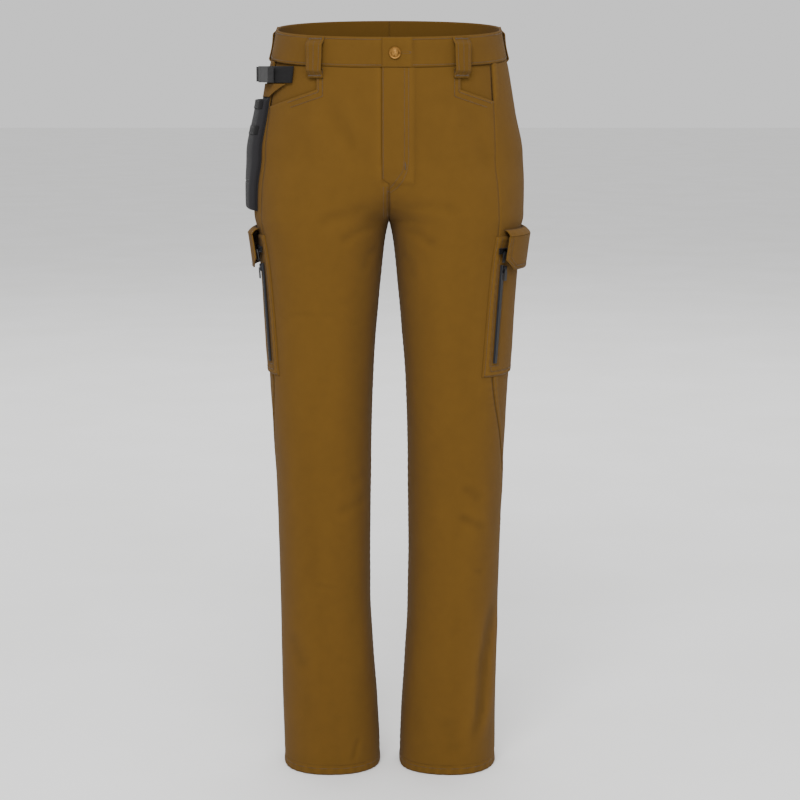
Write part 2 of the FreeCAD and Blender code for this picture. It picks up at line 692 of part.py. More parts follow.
# ---------------------------------------------------------------- holster
def holster():
    """A flat pouch with a backer, two ribs of webbing and a cloth tab."""
    front = -size("pouch_front")
    back = front + size("pouch_width")
    top = -size("pouch_top")
    low = top - size("pouch_height")
    gap = size("pouch_gap")
    cloth = size("pouch_cloth")
    room = size("pouch_room")

    def upright(corners):
        return facing_prism(corners, 0)

    whole = upright(rectangle(front, back, low, -size("backer_top")))
    soft("holster_backer", layer(-gap - cloth, -gap, whole), -1)
    pouch = layer(-gap - 2 * cloth - room, -gap - cloth,
                  upright(rectangle(front, back, low, top)))
    inside = upright(rectangle(front + 2, back - 2, low + 2, top + 50))
    pouch = pouch.cut(skin(-gap - cloth - room).common(inside))
    soft("holster_pouch", pouch, -1)
    outer = gap + 2 * cloth + room
    for word, drop in (("upper", 0.5), ("lower", size("rib_drop"))):
        strip = upright(rectangle(front, back, top - drop - size("rib_height"), top - drop))
        soft("holster_rib_" + word, layer(-outer - size("rib_thick"), -outer, strip), -1)
    tab = upright([(-size("tab_front"), -size("backer_top") + 4), (front, top + 4),
                   (-size("tab_back"), top + 4), (-size("tab_back"), -size("backer_top") + 4)])
    under = facing_prism(rectangle(front, back + 1, low, -size("backer_top")), 0)
    under = under.common(skin(-gap - cloth))
    soft("holster_tab", layer(-gap - 2 * cloth, -gap, tab).cut(under), -1)


def holster_strap():
    """The webbing strap and side-release buckle that carry the holster."""
    top = -BAND_DROP - size("strap_below")
    low = top - size("strap_height")
    strip = facing_prism(rectangle(-size("strap_front"), -size("strap_back"), low, top), 0)
    soft("strap_front", layer(-size("strap_thick"), 0, strip), -1)
    level = (top + low) / 2
    middle = Vector(0, -(size("strap_front") + size("strap_back")) / 2 + 8, level)
    side = Vector(1, 0, 0)
    here = hit(0, middle, side)
    ahead = hit(0, middle + Vector(0, 3, 0), side)
    along = (ahead - here).normalize()
    along = Vector(along.x, along.y, 0).normalize()
    out = UP.cross(along) * -1
    seat = here + out * size("buckle_lift") - along * size("buckle_length") / 2
    wall = "Sizes.buckle_wall"
    thick = "Sizes.buckle_thick"
    length = "Sizes.buckle_length"
    socket = padded_body("buckle_socket", [
        ("0", "0"), (length, "0"), (length, wall), (wall, wall),
        (wall, thick + " - " + wall), (length, thick + " - " + wall),
        (length, thick), ("0", thick)], "Sizes.strap_height")
    play = "Sizes.run_clearance"
    plug = padded_body("buckle_plug", [
        (wall + " + " + play, wall + " + " + play), (length + " + " + play, wall + " + " + play),
        (length + " + " + play, "0"), (length + " + Sizes.plug_length * 0.3", "0"),
        (length + " + Sizes.plug_length * 0.3", thick),
        (length + " + " + play, thick),
        (length + " + " + play, thick + " - " + wall + " - " + play),
        (wall + " + " + play, thick + " - " + wall + " - " + play)], "Sizes.strap_height")
    mirror_out = Vector(-out.x, out.y, 0)
    mirror_along = Vector(-along.x, along.y, 0)
    turn = FreeCAD.Rotation(mirror_along, mirror_out, Vector(0, 0, 0), "XYZ")
    spot = Vector(-seat.x, seat.y, seat.z)
    socket.Placement = FreeCAD.Placement(spot, turn)
    plug.Placement = FreeCAD.Placement(spot, turn)
    webbing = doc.addObject("Part::Box", "strap_rear")
    webbing.setExpression("Length", "Sizes.webbing_length / 2")
    webbing.setExpression("Width", "Sizes.strap_thick")
    webbing.setExpression("Height", "Sizes.strap_height - 1")
    reach = size("buckle_length") + size("plug_length") * 0.3
    lift = mirror_out * (size("buckle_thick") / 2 - size("strap_thick") / 2)
    corner = spot + mirror_along * reach + lift
    base = Vector(corner.x, corner.y, low + 0.5)
    webbing.Placement = FreeCAD.Placement(
        base, FreeCAD.Rotation(mirror_along, Vector(0, 0, 0), UP, "XZY"))
    webbing.Label = "strap_rear"
    parts["strap_rear"] = webbing


# ---------------------------------------------------------------- build
trouser_panels()
waistband()
hems()
front_pockets()
back_pockets()
belt_loops()
fly()
waist_button()
for word, side in (("left", 1), ("right", -1)):
    cargo_pocket(word, side)
    cargo_side_zip(word, side)
    cargo_mouth_zip(word, side)
holster()
holster_strap()
doc.recompute()

for item in doc.Objects:
    if "Invalid" in item.State or "Error" in item.State:
        raise RuntimeError("%s did not build: %s" % (item.Label, item.State))
for label, piece in parts.items():
    if piece.Shape.isNull() or not piece.Shape.isValid():
        raise RuntimeError("%s has no sound shape" % label)
os.makedirs("parts", exist_ok=True)
for label, piece in sorted(parts.items()):
    piece.Shape.exportStep("parts/%s.step" % label)
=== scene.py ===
import math

import bmesh
import bpy
import numpy as np
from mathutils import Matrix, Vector, noise


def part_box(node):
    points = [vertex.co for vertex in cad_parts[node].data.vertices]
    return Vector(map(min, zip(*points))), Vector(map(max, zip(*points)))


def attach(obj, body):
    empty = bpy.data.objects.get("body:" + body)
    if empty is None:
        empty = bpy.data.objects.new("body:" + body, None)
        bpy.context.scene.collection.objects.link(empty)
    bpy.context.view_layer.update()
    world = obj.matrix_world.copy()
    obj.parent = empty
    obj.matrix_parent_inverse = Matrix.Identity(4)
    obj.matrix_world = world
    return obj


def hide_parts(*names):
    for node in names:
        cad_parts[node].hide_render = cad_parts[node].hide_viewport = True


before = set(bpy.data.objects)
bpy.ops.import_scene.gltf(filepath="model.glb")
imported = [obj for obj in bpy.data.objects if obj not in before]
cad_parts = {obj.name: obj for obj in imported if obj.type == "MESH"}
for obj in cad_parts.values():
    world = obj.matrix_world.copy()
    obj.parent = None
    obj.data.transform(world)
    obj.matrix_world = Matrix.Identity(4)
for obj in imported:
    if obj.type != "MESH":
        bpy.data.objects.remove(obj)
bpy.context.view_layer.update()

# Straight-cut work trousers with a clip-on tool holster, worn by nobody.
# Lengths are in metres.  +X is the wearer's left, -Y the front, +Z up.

MM = 0.001

# ------------------------------------------------------------ garment shape
# drop, middle, inner half, outer half, front and back depth of each level, in
# millimetres: the same outline as the CAD solids that the pieces stand for
LEVELS = np.array([
    (0, 0, 110, 161.5, 113, 113),
    (60, 0, 110, 173, 112, 121),
    (120, 0, 110, 184, 110, 131),
    (180, 0, 110, 195, 107, 139),
    (225, 61, 136, 136, 105, 135),
    (255, 86, 110.5, 110.5, 103, 129),
    (275, 97.5, 97.5, 97.5, 101, 122),
    (330, 97.5, 88, 88, 96, 110),
    (500, 99.5, 76.5, 76.5, 87, 89),
    (640, 98, 70.5, 70.5, 82, 80),
    (850, 94.5, 67.5, 67.5, 77, 79),
    (1095, 87, 72, 72, 74, 76),
], dtype=float)
ROUNDNESS = 2.25
HEM = 1095.0
TILT = 0.115            # how the rim of the waist rises towards the back
BAND = 42.0             # height of the waistband
LEG_AXIS = 99.5
CARGO_TURN = {1: math.radians(11), -1: math.radians(-13)}
CARGO_HALF = 73.0
CARGO_TOP = 292.5
CARGO_LOW = 496.5
FLY_LAP = 9.0
FLY_END = 215.0
INSEAM_Y = 5.0


def eased_levels(drops):
    """Outline sizes at many drops, on the curve that never overshoots a level."""
    at = LEVELS[:, 0]
    rows = LEVELS[:, 1:]
    steps = np.diff(at)[:, None]
    rise = np.diff(rows, axis=0) / steps
    product = rise[:-1] * rise[1:]
    total = rise[:-1] + rise[1:]
    inner = np.where(product > 0, 2 * product / np.where(total == 0, 1, total), 0)
    slopes = np.vstack([np.zeros((1, 5)), inner, np.zeros((1, 5))])
    drops = np.clip(drops, at[0], at[-1])
    index = np.clip(np.searchsorted(at, drops, side="right") - 1, 0, len(at) - 2)
    span = (at[index + 1] - at[index])[:, None]
    t = ((drops - at[index])[:, None]) / span
    return ((2 * t**3 - 3 * t**2 + 1) * rows[index]
            + (t**3 - 2 * t**2 + t) * span * slopes[index]
            + (3 * t**2 - 2 * t**3) * rows[index + 1]
            + (t**3 - t**2) * span * slopes[index + 1])


TABLE_STEP = 2.5
TABLE_DROPS = np.arange(-30, HEM + 5, TABLE_STEP)
TABLE = eased_levels(TABLE_DROPS)


def outline_sizes(drops):
    """The outline's five sizes at each drop."""
    place = np.clip((drops + 30) / TABLE_STEP, 0, len(TABLE_DROPS) - 1.001)
    low = place.astype(int)
    part = (place - low)[..., None]
    return TABLE[low] * (1 - part) + TABLE[low + 1] * part


def skin(drops, angles, out):
    """Points of one half's surface: angle 0 is the outer side, -90 degrees the front."""
    drops, angles, out = np.broadcast_arrays(drops, angles, out)
    sizes = outline_sizes(drops)
    mid, inner, half, front, back = [sizes[..., i] for i in range(5)]
    power = 2 / ROUNDNESS
    c, s = np.cos(angles), np.sin(angles)
    across = np.abs(c) ** power
    along = np.abs(s) ** power
    x = mid + np.where(c >= 0, (half + out) * across, -(inner + out) * across)
    y = np.where(s >= 0, (back + out) * along, -(front + out) * along)
    return np.stack([x, y, -drops.astype(float)], axis=-1)


QUARTER = 360             # steps of the fine outline in a quarter turn
FINE = np.linspace(-math.pi, math.pi, 4 * QUARTER + 1)
LEG_SIDE = np.abs(FINE) < 2.6       # the part of it that can be seen from the leg's axis


def row_tables():
    """For every table drop: the fine outline and its length measured from the side."""
    grid = skin(TABLE_DROPS[:, None], FINE[None, :], np.zeros((1, 1)))
    steps = np.linalg.norm(np.diff(grid, axis=1), axis=-1)
    run = np.concatenate([np.zeros((len(grid), 1)), np.cumsum(steps, axis=1)], axis=1)
    run -= run[:, 2 * QUARTER:2 * QUARTER + 1]
    return grid, run


OUTLINES, RUNS = row_tables()


def table_row(drop):
    return int(round((min(max(drop, -30), HEM) + 30) / TABLE_STEP))


def centre_angles(drops, lap_front):
    """The angles of a half's front and back centre edges, and of the inseam below."""
    front, back = np.empty(len(drops)), np.empty(len(drops))
    for i, drop in enumerate(drops):
        row = OUTLINES[table_row(drop)]
        lap = lap_front if drop < FLY_END else 0.0
        for which, window, limit in ((0, slice(QUARTER + 1), -lap),
                                     (1, slice(3 * QUARTER, None), 0.0)):
            x, angles = row[window, 0], FINE[window]
            if x.min() >= limit:
                angle = -math.pi if which == 0 else math.pi
            else:
                order = np.argsort(x)
                angle = np.interp(limit, x[order], angles[order])
            if which == 0:
                front[i] = angle
            else:
                back[i] = angle
    return front, back


# ------------------------------------------------------------ folds
def path_distance(points, path):
    """Distance of each (across, down) point from a line of points, and how far along."""
    best = np.full(len(points), 1e9)
    along = np.zeros(len(points))
    path = np.array(path, dtype=float)
    lengths = np.concatenate([[0], np.cumsum(np.linalg.norm(np.diff(path, axis=0), axis=1))])
    for i in range(len(path) - 1):
        a, b = path[i], path[i + 1]
        span = b - a
        t = np.clip(((points - a) @ span) / (span @ span), 0, 1)
        gap = points - (a + t[:, None] * span)
        side = np.sign(span[0] * gap[:, 1] - span[1] * gap[:, 0])
        distance = np.linalg.norm(gap, axis=1)
        near = distance < np.abs(best)
        best = np.where(near, np.where(side == 0, 1, side) * distance, best)
        along = np.where(near, lengths[i] + t * (lengths[i + 1] - lengths[i]), along)
    return best, along / lengths[-1]


def ease(t):
    t = np.clip(t, 0, 1)
    return t * t * (3 - 2 * t)


# Each fold is a path of (x, z) in millimetres as seen from the front or back,
# then its half width, its depth (negative sinks) and how one-sided it is.
FRONT_FOLDS = [
    # from under the right belt loop down to the crotch
    ([(-92, -85), (-70, -125), (-40, -170), (-14, -215)], 15, -2.6, 0.7),
    ([(-118, -112), (-92, -150), (-60, -195)], 18, 1.6, 0.0),
    # beside the fly stitching, and from the left pocket's corner
    ([(33, -100), (34, -150), (28, -205)], 11, -1.8, -0.6),
    ([(104, -92), (118, -125), (134, -170), (146, -215)], 13, -1.8, 0.6),
    ([(75, -95), (84, -140), (100, -195)], 17, 1.3, 0.0),
    # whiskers that fan out from the crotch
    ([(-8, -262), (-38, -252), (-80, -262), (-110, -280)], 10, -1.7, 0.5),
    ([(-10, -276), (-40, -282), (-76, -302)], 8, -1.6, 0.4),
    ([(10, -258), (42, -246), (84, -250), (112, -262)], 10, -1.6, -0.5),
    ([(12, -280), (44, -288), (74, -312)], 8, -1.4, -0.3),
    ([(-12, -300), (-30, -322), (-38, -350)], 7, -1.5, 0.3),
    ([(14, -310), (30, -330), (38, -362)], 7, -1.2, 0.3),
    # faint creases across the right thigh, knee and shin
    ([(-158, -408), (-118, -402), (-66, -406)], 5, -0.5, 0.3),
    ([(-28, -672), (-50, -686), (-82, -694)], 9, -1.5, 0.5),
    ([(-30, -640), (-58, -652)], 9, -1.1, 0.4),
    ([(-112, -800), (-90, -806), (-70, -808)], 4, -0.55, 0.3),
    ([(-40, -842), (-38, -900), (-42, -962)], 12, 1.6, 0.0),
    ([(-45, -1036), (-52, -1062), (-56, -1080)], 4, -1.5, 0.5),
    ([(-148, -872), (-136, -905), (-124, -942)], 12, -1.4, 0.0),
    ([(-120, -960), (-112, -1010), (-114, -1060)], 22, -1.6, 0.0),
    # the left knee and the deep fold down the outside of the left shin
    ([(96, -696), (118, -708), (144, -722)], 8, -1.9, 0.6),
    ([(100, -655), (120, -664), (136, -680)], 9, -1.2, 0.5),
    ([(122, -783), (138, -786)], 5, -0.9, 0.4),
    ([(160, -812), (149, -875), (140, -930), (136, -1000), (121, -1060)], 8, -5.2, 0.85),
    ([(168, -800), (160, -880), (154, -960), (148, -1030)], 10, 2.4, 0.0),
    ([(80, -1000), (90, -1030), (98, -1070)], 16, -1.9, 0.0),
    ([(40, -990), (46, -1040), (52, -1078)], 12, -1.0, 0.0),
    # down the front of each leg, where the cloth hangs from the thigh
    ([(-60, -330), (-72, -450), (-84, -560), (-88, -640)], 26, 1.3, 0.0),
    ([(66, -330), (80, -450), (92, -560), (98, -640)], 26, 1.3, 0.0),
]
BACK_FOLDS = [
    ([(12, -288), (50, -272), (96, -276), (138, -296)], 9, -3.0, 0.6),
    ([(16, -318), (54, -308), (98, -314)], 8, -2.0, 0.5),
    ([(14, -350), (46, -348), (78, -360)], 8, -1.4, 0.4),
    ([(60, -225), (84, -250), (100, -282)], 16, 1.8, 0.0),
    ([(36, -610), (66, -600), (104, -612), (140, -606)], 9, -2.2, 0.5),
    ([(40, -640), (80, -650), (126, -640)], 9, -2.0, 0.5),
    ([(50, -676), (90, -684), (134, -672)], 10, -1.5, 0.4),
    ([(60, -580), (96, -572), (128, -578)], 8, -1.2, 0.3),
    ([(84, -760), (88, -860), (86, -960), (92, -1060)], 20, -1.6, 0.0),
    ([(130, -850), (126, -930), (116, -1010)], 13, 1.6, 0.0),
    ([(56, -1020), (74, -1042), (98, -1048), (122, -1036)], 10, -1.8, 0.5),
]


FOLD_DEPTH = 0.6


def fold_height(across, down, folds):
    """Height of all the folds of one face at points (across, down)."""
    points = np.stack([across, down], axis=1)
    total = np.zeros(len(points))
    for path, width, depth, lean in folds:
        low = np.min(path, axis=0) - 4 * width
        high = np.max(path, axis=0) + 4 * width
        near = np.all((points > low) & (points < high), axis=1)
        if not near.any():
            continue
        depth *= FOLD_DEPTH
        distance, along = path_distance(points[near], path)
        fade = ease(along / 0.3) * ease((1 - along) / 0.3)
        across_fold = distance / width
        valley = np.exp(-across_fold**2)
        bank = np.exp(-((across_fold - 1.5 * np.sign(lean or 1)) ** 2) / 1.2)
        total[near] += depth * fade * (valley - abs(lean) * 0.75 * bank)
    return total


def wander(points, scale, seed, stretch=(1, 1, 1)):
    """Smooth noise at many points, about -1 to 1."""
    offset = Vector((seed * 13.1, seed * 7.7, seed * 3.3))
    sx, sy, sz = [scale * s for s in stretch]
    return np.array([noise.noise(Vector((p[0] * sx, p[1] * sy, p[2] * sz)) + offset)
                     for p in points])


def stiffness(side, flat):
    """How much the cloth is held flat by what is sewn or clipped on it, 0 to 1."""
    x, y, drop = flat[:, 0], flat[:, 1], -flat[:, 2]
    turn = CARGO_TURN[side]
    along = (x - LEG_AXIS) * math.sin(turn) + y * math.cos(turn)
    away = (x - LEG_AXIS) * math.cos(turn) - y * math.sin(turn)
    within = ease((CARGO_HALF + 12 - np.abs(along)) / 12) * ease((away - 10) / 20)
    within *= ease((drop - CARGO_TOP + 14) / 14) * ease((CARGO_LOW + 10 - drop) / 10)
    held = 0.93 * within
    if side < 0:
        holster = ease((y + 92) / 20) * ease((86 - y) / 16) * ease((x - 90) / 30)
        held = np.maximum(held, 0.95 * holster * ease((275 - drop) / 16))
    fly = ease((48 - np.abs(x - 6)) / 18) * ease((FLY_END + 10 - drop) / 20) * ease(-y / 30)
    return np.maximum(held, 0.55 * fly)


def drape(side, base, angles):
    """How far the worn cloth stands off its smooth outline, in millimetres."""
    flat = base.reshape(-1, 3)
    drops = -flat[:, 2]
    x = flat[:, 0] * side
    facing = np.sin(angles).reshape(-1)
    front = ease(-facing * 2.2 + 0.3)
    back = ease(facing * 2.2 + 0.3)
    lift = front * fold_height(x, flat[:, 2], FRONT_FOLDS)
    lift += back * fold_height(flat[:, 0], flat[:, 2], BACK_FOLDS)
    place = flat * np.array([side, 1, 1])
    calm = ease((drops - 42) / 90)
    legs = ease((drops - 300) / 200)
    lift += calm * 1.2 * wander(place, 0.011, 1, (1, 1, 0.55))
    lift += calm * 0.45 * wander(place, 0.03, 2, (1, 1, 0.7))
    lift += calm * legs * 1.1 * wander(place, 0.016, 3, (1.2, 1.2, 0.22))
    lift += calm * 0.12 * wander(place, 0.09, 4)
    lift *= 1 - stiffness(side, flat)
    return lift.reshape(angles.shape)


# ------------------------------------------------------------ places on the cloth
def by_rows(drops, solve):
    """Blends the answers of the two table rows next to each drop."""
    place = np.clip((drops + 30) / TABLE_STEP, 0, len(TABLE_DROPS) - 1.001)
    low = place.astype(int)
    part = place - low
    answers = np.zeros(drops.shape)
    for shift, weight in ((0, 1 - part), (1, part)):
        rows = low + shift
        for row in np.unique(rows):
            here = rows == row
            answers[here] += weight[here] * solve(row, here)
    return answers


def strip_angles(drops, columns, start, finish):
    """Angles spread evenly by length across each row, between two edge curves."""
    def solve(row, here):
        ends = np.interp([start[row], finish[row]], FINE, RUNS[row])
        return np.interp(ends[0] + (ends[1] - ends[0]) * columns[here], RUNS[row], FINE)
    return by_rows(drops, solve)


def facing_angles(drops, along, turn):
    """Angles of points given by their distance back from a bearing out of the leg."""
    s, c = math.sin(turn), math.cos(turn)

    def solve(row, here):
        x, y = OUTLINES[row][:, 0] - LEG_AXIS, OUTLINES[row][:, 1]
        window = (x * c - y * s > 5) & (np.abs(FINE) < 2.4)
        reading = np.maximum.accumulate((x * s + y * c)[window])
        return np.interp(along[here], reading, FINE[window])
    return by_rows(drops, solve)


def plan_angles(drops, across, front):
    """Angles of points given by their distance across, on the front or the back."""
    def solve(row, here):
        window = (FINE <= 0) if front else (FINE >= 0)
        x, angles = OUTLINES[row][window, 0], FINE[window]
        order = np.argsort(x)
        return np.interp(across[here], x[order], angles[order])
    return by_rows(drops, solve)


def edge_angles(drops, edge):
    """The angles of an edge curve at many drops."""
    return by_rows(drops, lambda row, here: np.full(here.sum(), edge[row]))


def run_length(drops, angles):
    """Length round the outline from the side line, in millimetres."""
    return by_rows(drops, lambda row, here: np.interp(angles[here], FINE, RUNS[row]))


def seam_on_axis(turns, direction):
    """Outline angles where rays from the leg's axis leave the garment."""
    answers = np.empty(len(TABLE_DROPS))
    for i in range(len(TABLE_DROPS)):
        row = OUTLINES[i][LEG_SIDE]
        bearing = np.degrees(np.arctan2(row[:, 1] - INSEAM_Y, row[:, 0] - LEG_AXIS))
        bearing = np.maximum.accumulate(bearing)
        answers[i] = np.interp(direction * turns[i], bearing, FINE[LEG_SIDE])
    return answers


def offset_edge(edge, distance):
    """An edge curve moved round the body by a distance in millimetres."""
    moved = [np.interp(np.interp(edge[i], FINE, RUNS[i]) + distance, RUNS[i], FINE)
             for i in range(len(TABLE_DROPS))]
    return np.array(moved)


BACK_EDGE = centre_angles(TABLE_DROPS, FLY_LAP)[1]
FRONT_EDGE = {1: centre_angles(TABLE_DROPS, FLY_LAP)[0],
              -1: centre_angles(TABLE_DROPS, -FLY_LAP)[0]}
SEAM_TURN = {1: 57.0, -1: 36.0}
SEAM_REACH = {1: 780.0, -1: 700.0}
SIDE_SEAM = {
    side: seam_on_axis(SEAM_TURN[side] - (SEAM_TURN[side] + 4)
                       * ease((TABLE_DROPS - 480) / (SEAM_REACH[side] - 480)), -1)
    for side in (1, -1)}
BACK_SEAM = seam_on_axis(52.0 - 50.0 * ease((TABLE_DROPS - 480) / 320), 1)


def settle(below, columns, start, finish):
    """The drops of a row of points that lies parallel to the tilted rim."""
    drops = np.full(columns.shape, float(below))
    for _ in range(5):
        angles = strip_angles(drops, columns, start, finish)
        y = skin(drops, angles, 0)[..., 1]
        drops = below * math.sqrt(1 + TILT**2) - TILT * y
    return drops


# ------------------------------------------------------------ meshes
def new_object(name, points, faces, uvs=None, painted_light_and_edge_tint=None):
    """A mesh object; uvs and the colour channel of painted shade, painted highlight and lighter
    edges are given per point.
    """
    mesh = bpy.data.meshes.new(name)
    mesh.from_pydata([tuple(p) for p in np.asarray(points, dtype=float)], [],
                     [tuple(int(i) for i in f) for f in faces])
    if uvs is not None:
        layer = mesh.uv_layers.new(name="UVMap")
        index = np.empty(len(mesh.loops), dtype=np.int32)
        mesh.loops.foreach_get("vertex_index", index)
        layer.data.foreach_set("uv", np.asarray(uvs, dtype=np.float32)[index].ravel())
    if painted_light_and_edge_tint is not None:
        attribute = mesh.attributes.new("painted_light_and_edge_tint", "FLOAT", "POINT")
        attribute.data.foreach_set("value", np.asarray(painted_light_and_edge_tint, dtype=np.float32).ravel())
    mesh.polygons.foreach_set("use_smooth", [True] * len(mesh.polygons))
    mesh.update()
    obj = bpy.data.objects.new(name, mesh)
    bpy.context.scene.collection.objects.link(obj)
    return obj


def grid_faces(rows, columns, flip, keep=None):
    """Quads of a grid of (rows + 1) by (columns + 1) points."""
    v, u = np.meshgrid(np.arange(rows), np.arange(columns), indexing="ij")
    wide = columns + 1
    a = v * wide + u
    quads = np.stack([a, a + 1, a + wide + 1, a + wide], axis=-1)
    if flip:
        quads = quads[..., ::-1]
    if keep is not None:
        return quads[keep]
    return quads.reshape(-1, 4)


def drop_loose(obj):
    """Removes points that no face uses."""
    bm = bmesh.new()
    bm.from_mesh(obj.data)
    bmesh.ops.delete(bm, geom=[v for v in bm.verts if not v.link_faces], context="VERTS")
    bm.to_mesh(obj.data)
    bm.free()


def thicken(obj, thickness, offset=-1.0):
    """Gives a sheet its cloth thickness, in millimetres, and applies it."""
    mod = obj.modifiers.new("Thickness", "SOLIDIFY")
    mod.thickness = thickness * MM
    mod.offset = offset
    mod.use_rim = True
    depsgraph = bpy.context.evaluated_depsgraph_get()
    mesh = bpy.data.meshes.new_from_object(obj.evaluated_get(depsgraph))
    obj.modifiers.clear()
    obj.data = mesh


def place_piece(obj, material, body="garment", nodes=()):
    """Gives a piece its material and body, and hides the CAD solids it stands for."""
    obj.data.materials.clear()
    obj.data.materials.append(material)
    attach(obj, body)
    if nodes:
        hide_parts(*nodes)
    return obj


class Sheet:
    """Cloth on one half of the garment: a grid of drops and outline angles."""

    def __init__(self, side, drops, angles, out=0.0, fold=1.0):
        self.side = side
        self.drops = np.asarray(drops, dtype=float)
        self.angles = angles
        self.base = skin(self.drops, angles, 0)
        self.out = out + drape(side, self.base, angles) * fold
        self.keep = None
        # painted shade along seams and in hollows, and lighter edges, added to the colour
        # channel
        self.shade_and_edge_tint = np.zeros(angles.shape)

    def points(self):
        """Points of the sheet in metres."""
        places = skin(self.drops, self.angles, self.out)
        return places * np.array([self.side, 1, 1]) * MM

    def run(self):
        """Length round the body of each point, in millimetres."""
        return run_length(self.drops, self.angles)

    def painted_light_and_edge_tint(self):
        """Painted light from the folds: painted shade where the cloth sinks below what is round
        it and painted highlight where it stands proud, plus the painted seam shade and edge
        tint.
        """
        soft = self.out.copy()
        for _ in range(12):
            wide = np.pad(soft, 1, mode="edge")
            soft = (wide[:-2, 1:-1] + wide[2:, 1:-1] + wide[1:-1, :-2]
                    + wide[1:-1, 2:] + 4 * wide[1:-1, 1:-1]) / 8
        return np.clip((self.out - soft) * 1.6, -1, 1) + self.shade_and_edge_tint

    def build(self, name, thick=1.2):
        """The sheet as a mesh object with its cloth thickness."""
        rows, columns = self.angles.shape[0] - 1, self.angles.shape[1] - 1
        uvs = np.stack([self.run(), -self.drops], axis=-1) * MM
        faces = grid_faces(rows, columns, self.side > 0, self.keep)
        obj = new_object(name, self.points().reshape(-1, 3), faces,
                         uvs.reshape(-1, 2), self.painted_light_and_edge_tint())
        if self.keep is not None:
            drop_loose(obj)
        thicken(obj, thick)
        return obj

    def finish(self, node, material, slot, rests_on, held="hung", thick=1.2,
               body="garment", kind="cloth"):
        """Makes the visible piece that stands for one CAD solid."""
        obj = self.build(node + "_" + kind, thick)
        place_piece(obj, material, body, [node])


def strip(side, start, finish, top, bottom, rows, columns, out=0.0, fold=1.0):
    """A sheet between two edge curves, from one row of drops to another."""
    u = np.linspace(0, 1, columns + 1)
    top = np.broadcast_to(np.asarray(top, dtype=float), u.shape)
    bottom = np.broadcast_to(np.asarray(bottom, dtype=float), u.shape)
    v = np.linspace(0, 1, rows + 1)[:, None]
    drops = top + (bottom - top) * v
    angles = strip_angles(drops, np.broadcast_to(u, drops.shape), start, finish)
    return Sheet(side, drops, angles, out, fold)


def plate(side, turn, along, heights, out=0.0, fold=1.0):
    """A sheet laid on the leg and seen along a bearing; grids of millimetres."""
    return Sheet(side, -heights, facing_angles(-heights, along, turn), out, fold)


def rectangle(low_along, high_along, low, high, rows, columns):
    """Grids of distance along and height, row by row from the top."""
    u = np.linspace(low_along, high_along, columns + 1)
    v = np.linspace(high, low, rows + 1)
    return np.meshgrid(u, v)


def edge_distance(along, heights, limits):
    """Distance inwards from the nearest edge of a rectangle."""
    low_along, high_along, low, high = limits
    return np.minimum(np.minimum(along - low_along, high_along - along),
                      np.minimum(heights - low, high - heights))


def seam_relief(distance, run, lap=0.0):
    """Groove, felled lap and puckers of cloth beside a sewn edge."""
    groove = -1.1 * np.exp(-((distance / 1.7) ** 2))
    beat = np.sin(run / 1.55 + np.sin(run / 23) * 3)
    pucker = 0.22 * np.exp(-((distance - 5) / 6) ** 2) * beat
    raised = lap * ease((distance - 0.5) / 1.5) * ease((10.5 - distance) / 1.2)
    return groove + pucker + raised


# ------------------------------------------------------------ thread
class Thread:
    """Collects sewn stitches: short low ridges that sit on the cloth."""

    def __init__(self):
        self.places, self.normals, self.ends = [], [], []

    def run(self, points, pitch=3.3, length=2.5):
        """Stitches along a line of points with the cloth's outward side."""
        points, normals = points
        gaps = np.linalg.norm(np.diff(points, axis=0), axis=1)
        travel = np.concatenate([[0], np.cumsum(gaps)]) / MM
        starts = np.arange(0.4, travel[-1] - length, pitch)
        for shift, store in ((0, self.places), (length, self.ends)):
            spots = np.stack([np.interp(starts + shift, travel, points[:, k])
                              for k in range(3)], axis=1)
            store.append(spots)
        self.normals.append(np.stack([np.interp(starts + length / 2, travel, normals[:, k])
                                      for k in range(3)], axis=1))

    def bar(self, centre, direction, normal, reach, teeth=14):
        """A bartack: a dense zigzag across a line."""
        direction = direction / np.linalg.norm(direction)
        across = np.cross(normal, direction)
        steps = np.linspace(-reach / 2, reach / 2, teeth) * MM
        sign = np.where(np.arange(teeth) % 2 == 0, 1, -1)[:, None]
        middle = centre + steps[:, None] * direction
        self.places.append(middle - across * 0.9 * MM * sign)
        self.ends.append(middle + across * 0.9 * MM * sign + direction * 0.3 * MM)
        self.normals.append(np.broadcast_to(normal, middle.shape))

    def build(self, name, material, slot, body="garment", wide=0.42, tall=0.3):
        a, b, n = (np.concatenate(v) for v in (self.places, self.ends, self.normals))
        n = n / np.linalg.norm(n, axis=1)[:, None]
        d = (b - a) / np.linalg.norm(b - a, axis=1)[:, None]
        s = np.cross(d, n)
        rings = [a - n * 0.25 * MM]
        for t in (0.22, 0.78):
            middle = a + (b - a) * t
            rings += [middle - s * wide * MM, middle + n * tall * MM, middle + s * wide * MM]
        rings.append(b - n * 0.25 * MM)
        points = np.stack(rings, axis=1).reshape(-1, 3)
        shape = [(0, 2, 1), (0, 3, 2), (1, 2, 5, 4), (2, 3, 6, 5), (7, 4, 5), (7, 5, 6),
                 (0, 1, 4, 7), (0, 7, 6, 3)]
        faces = [tuple(8 * i + k for k in face) for i in range(len(a)) for face in shape]
        obj = new_object(name, points, faces)
        return place_piece(obj, material, body)


def line_on(side, drops, angles, out=0.0, fold=1.0):
    """Points and outward directions along a line on the worn cloth."""
    drops = np.asarray(drops, dtype=float)
    lift = drape(side, skin(drops, angles, 0), angles) * fold
    height = out + lift + 0.05
    here = skin(drops, angles, height)
    aside = skin(drops, angles + 0.01, height) - here
    below = skin(drops + 2, angles, height) - here
    normal = np.cross(below, aside)
    normal /= np.linalg.norm(normal, axis=1)[:, None]
    flip = np.array([side, 1, 1])
    return here * flip * MM, normal * flip


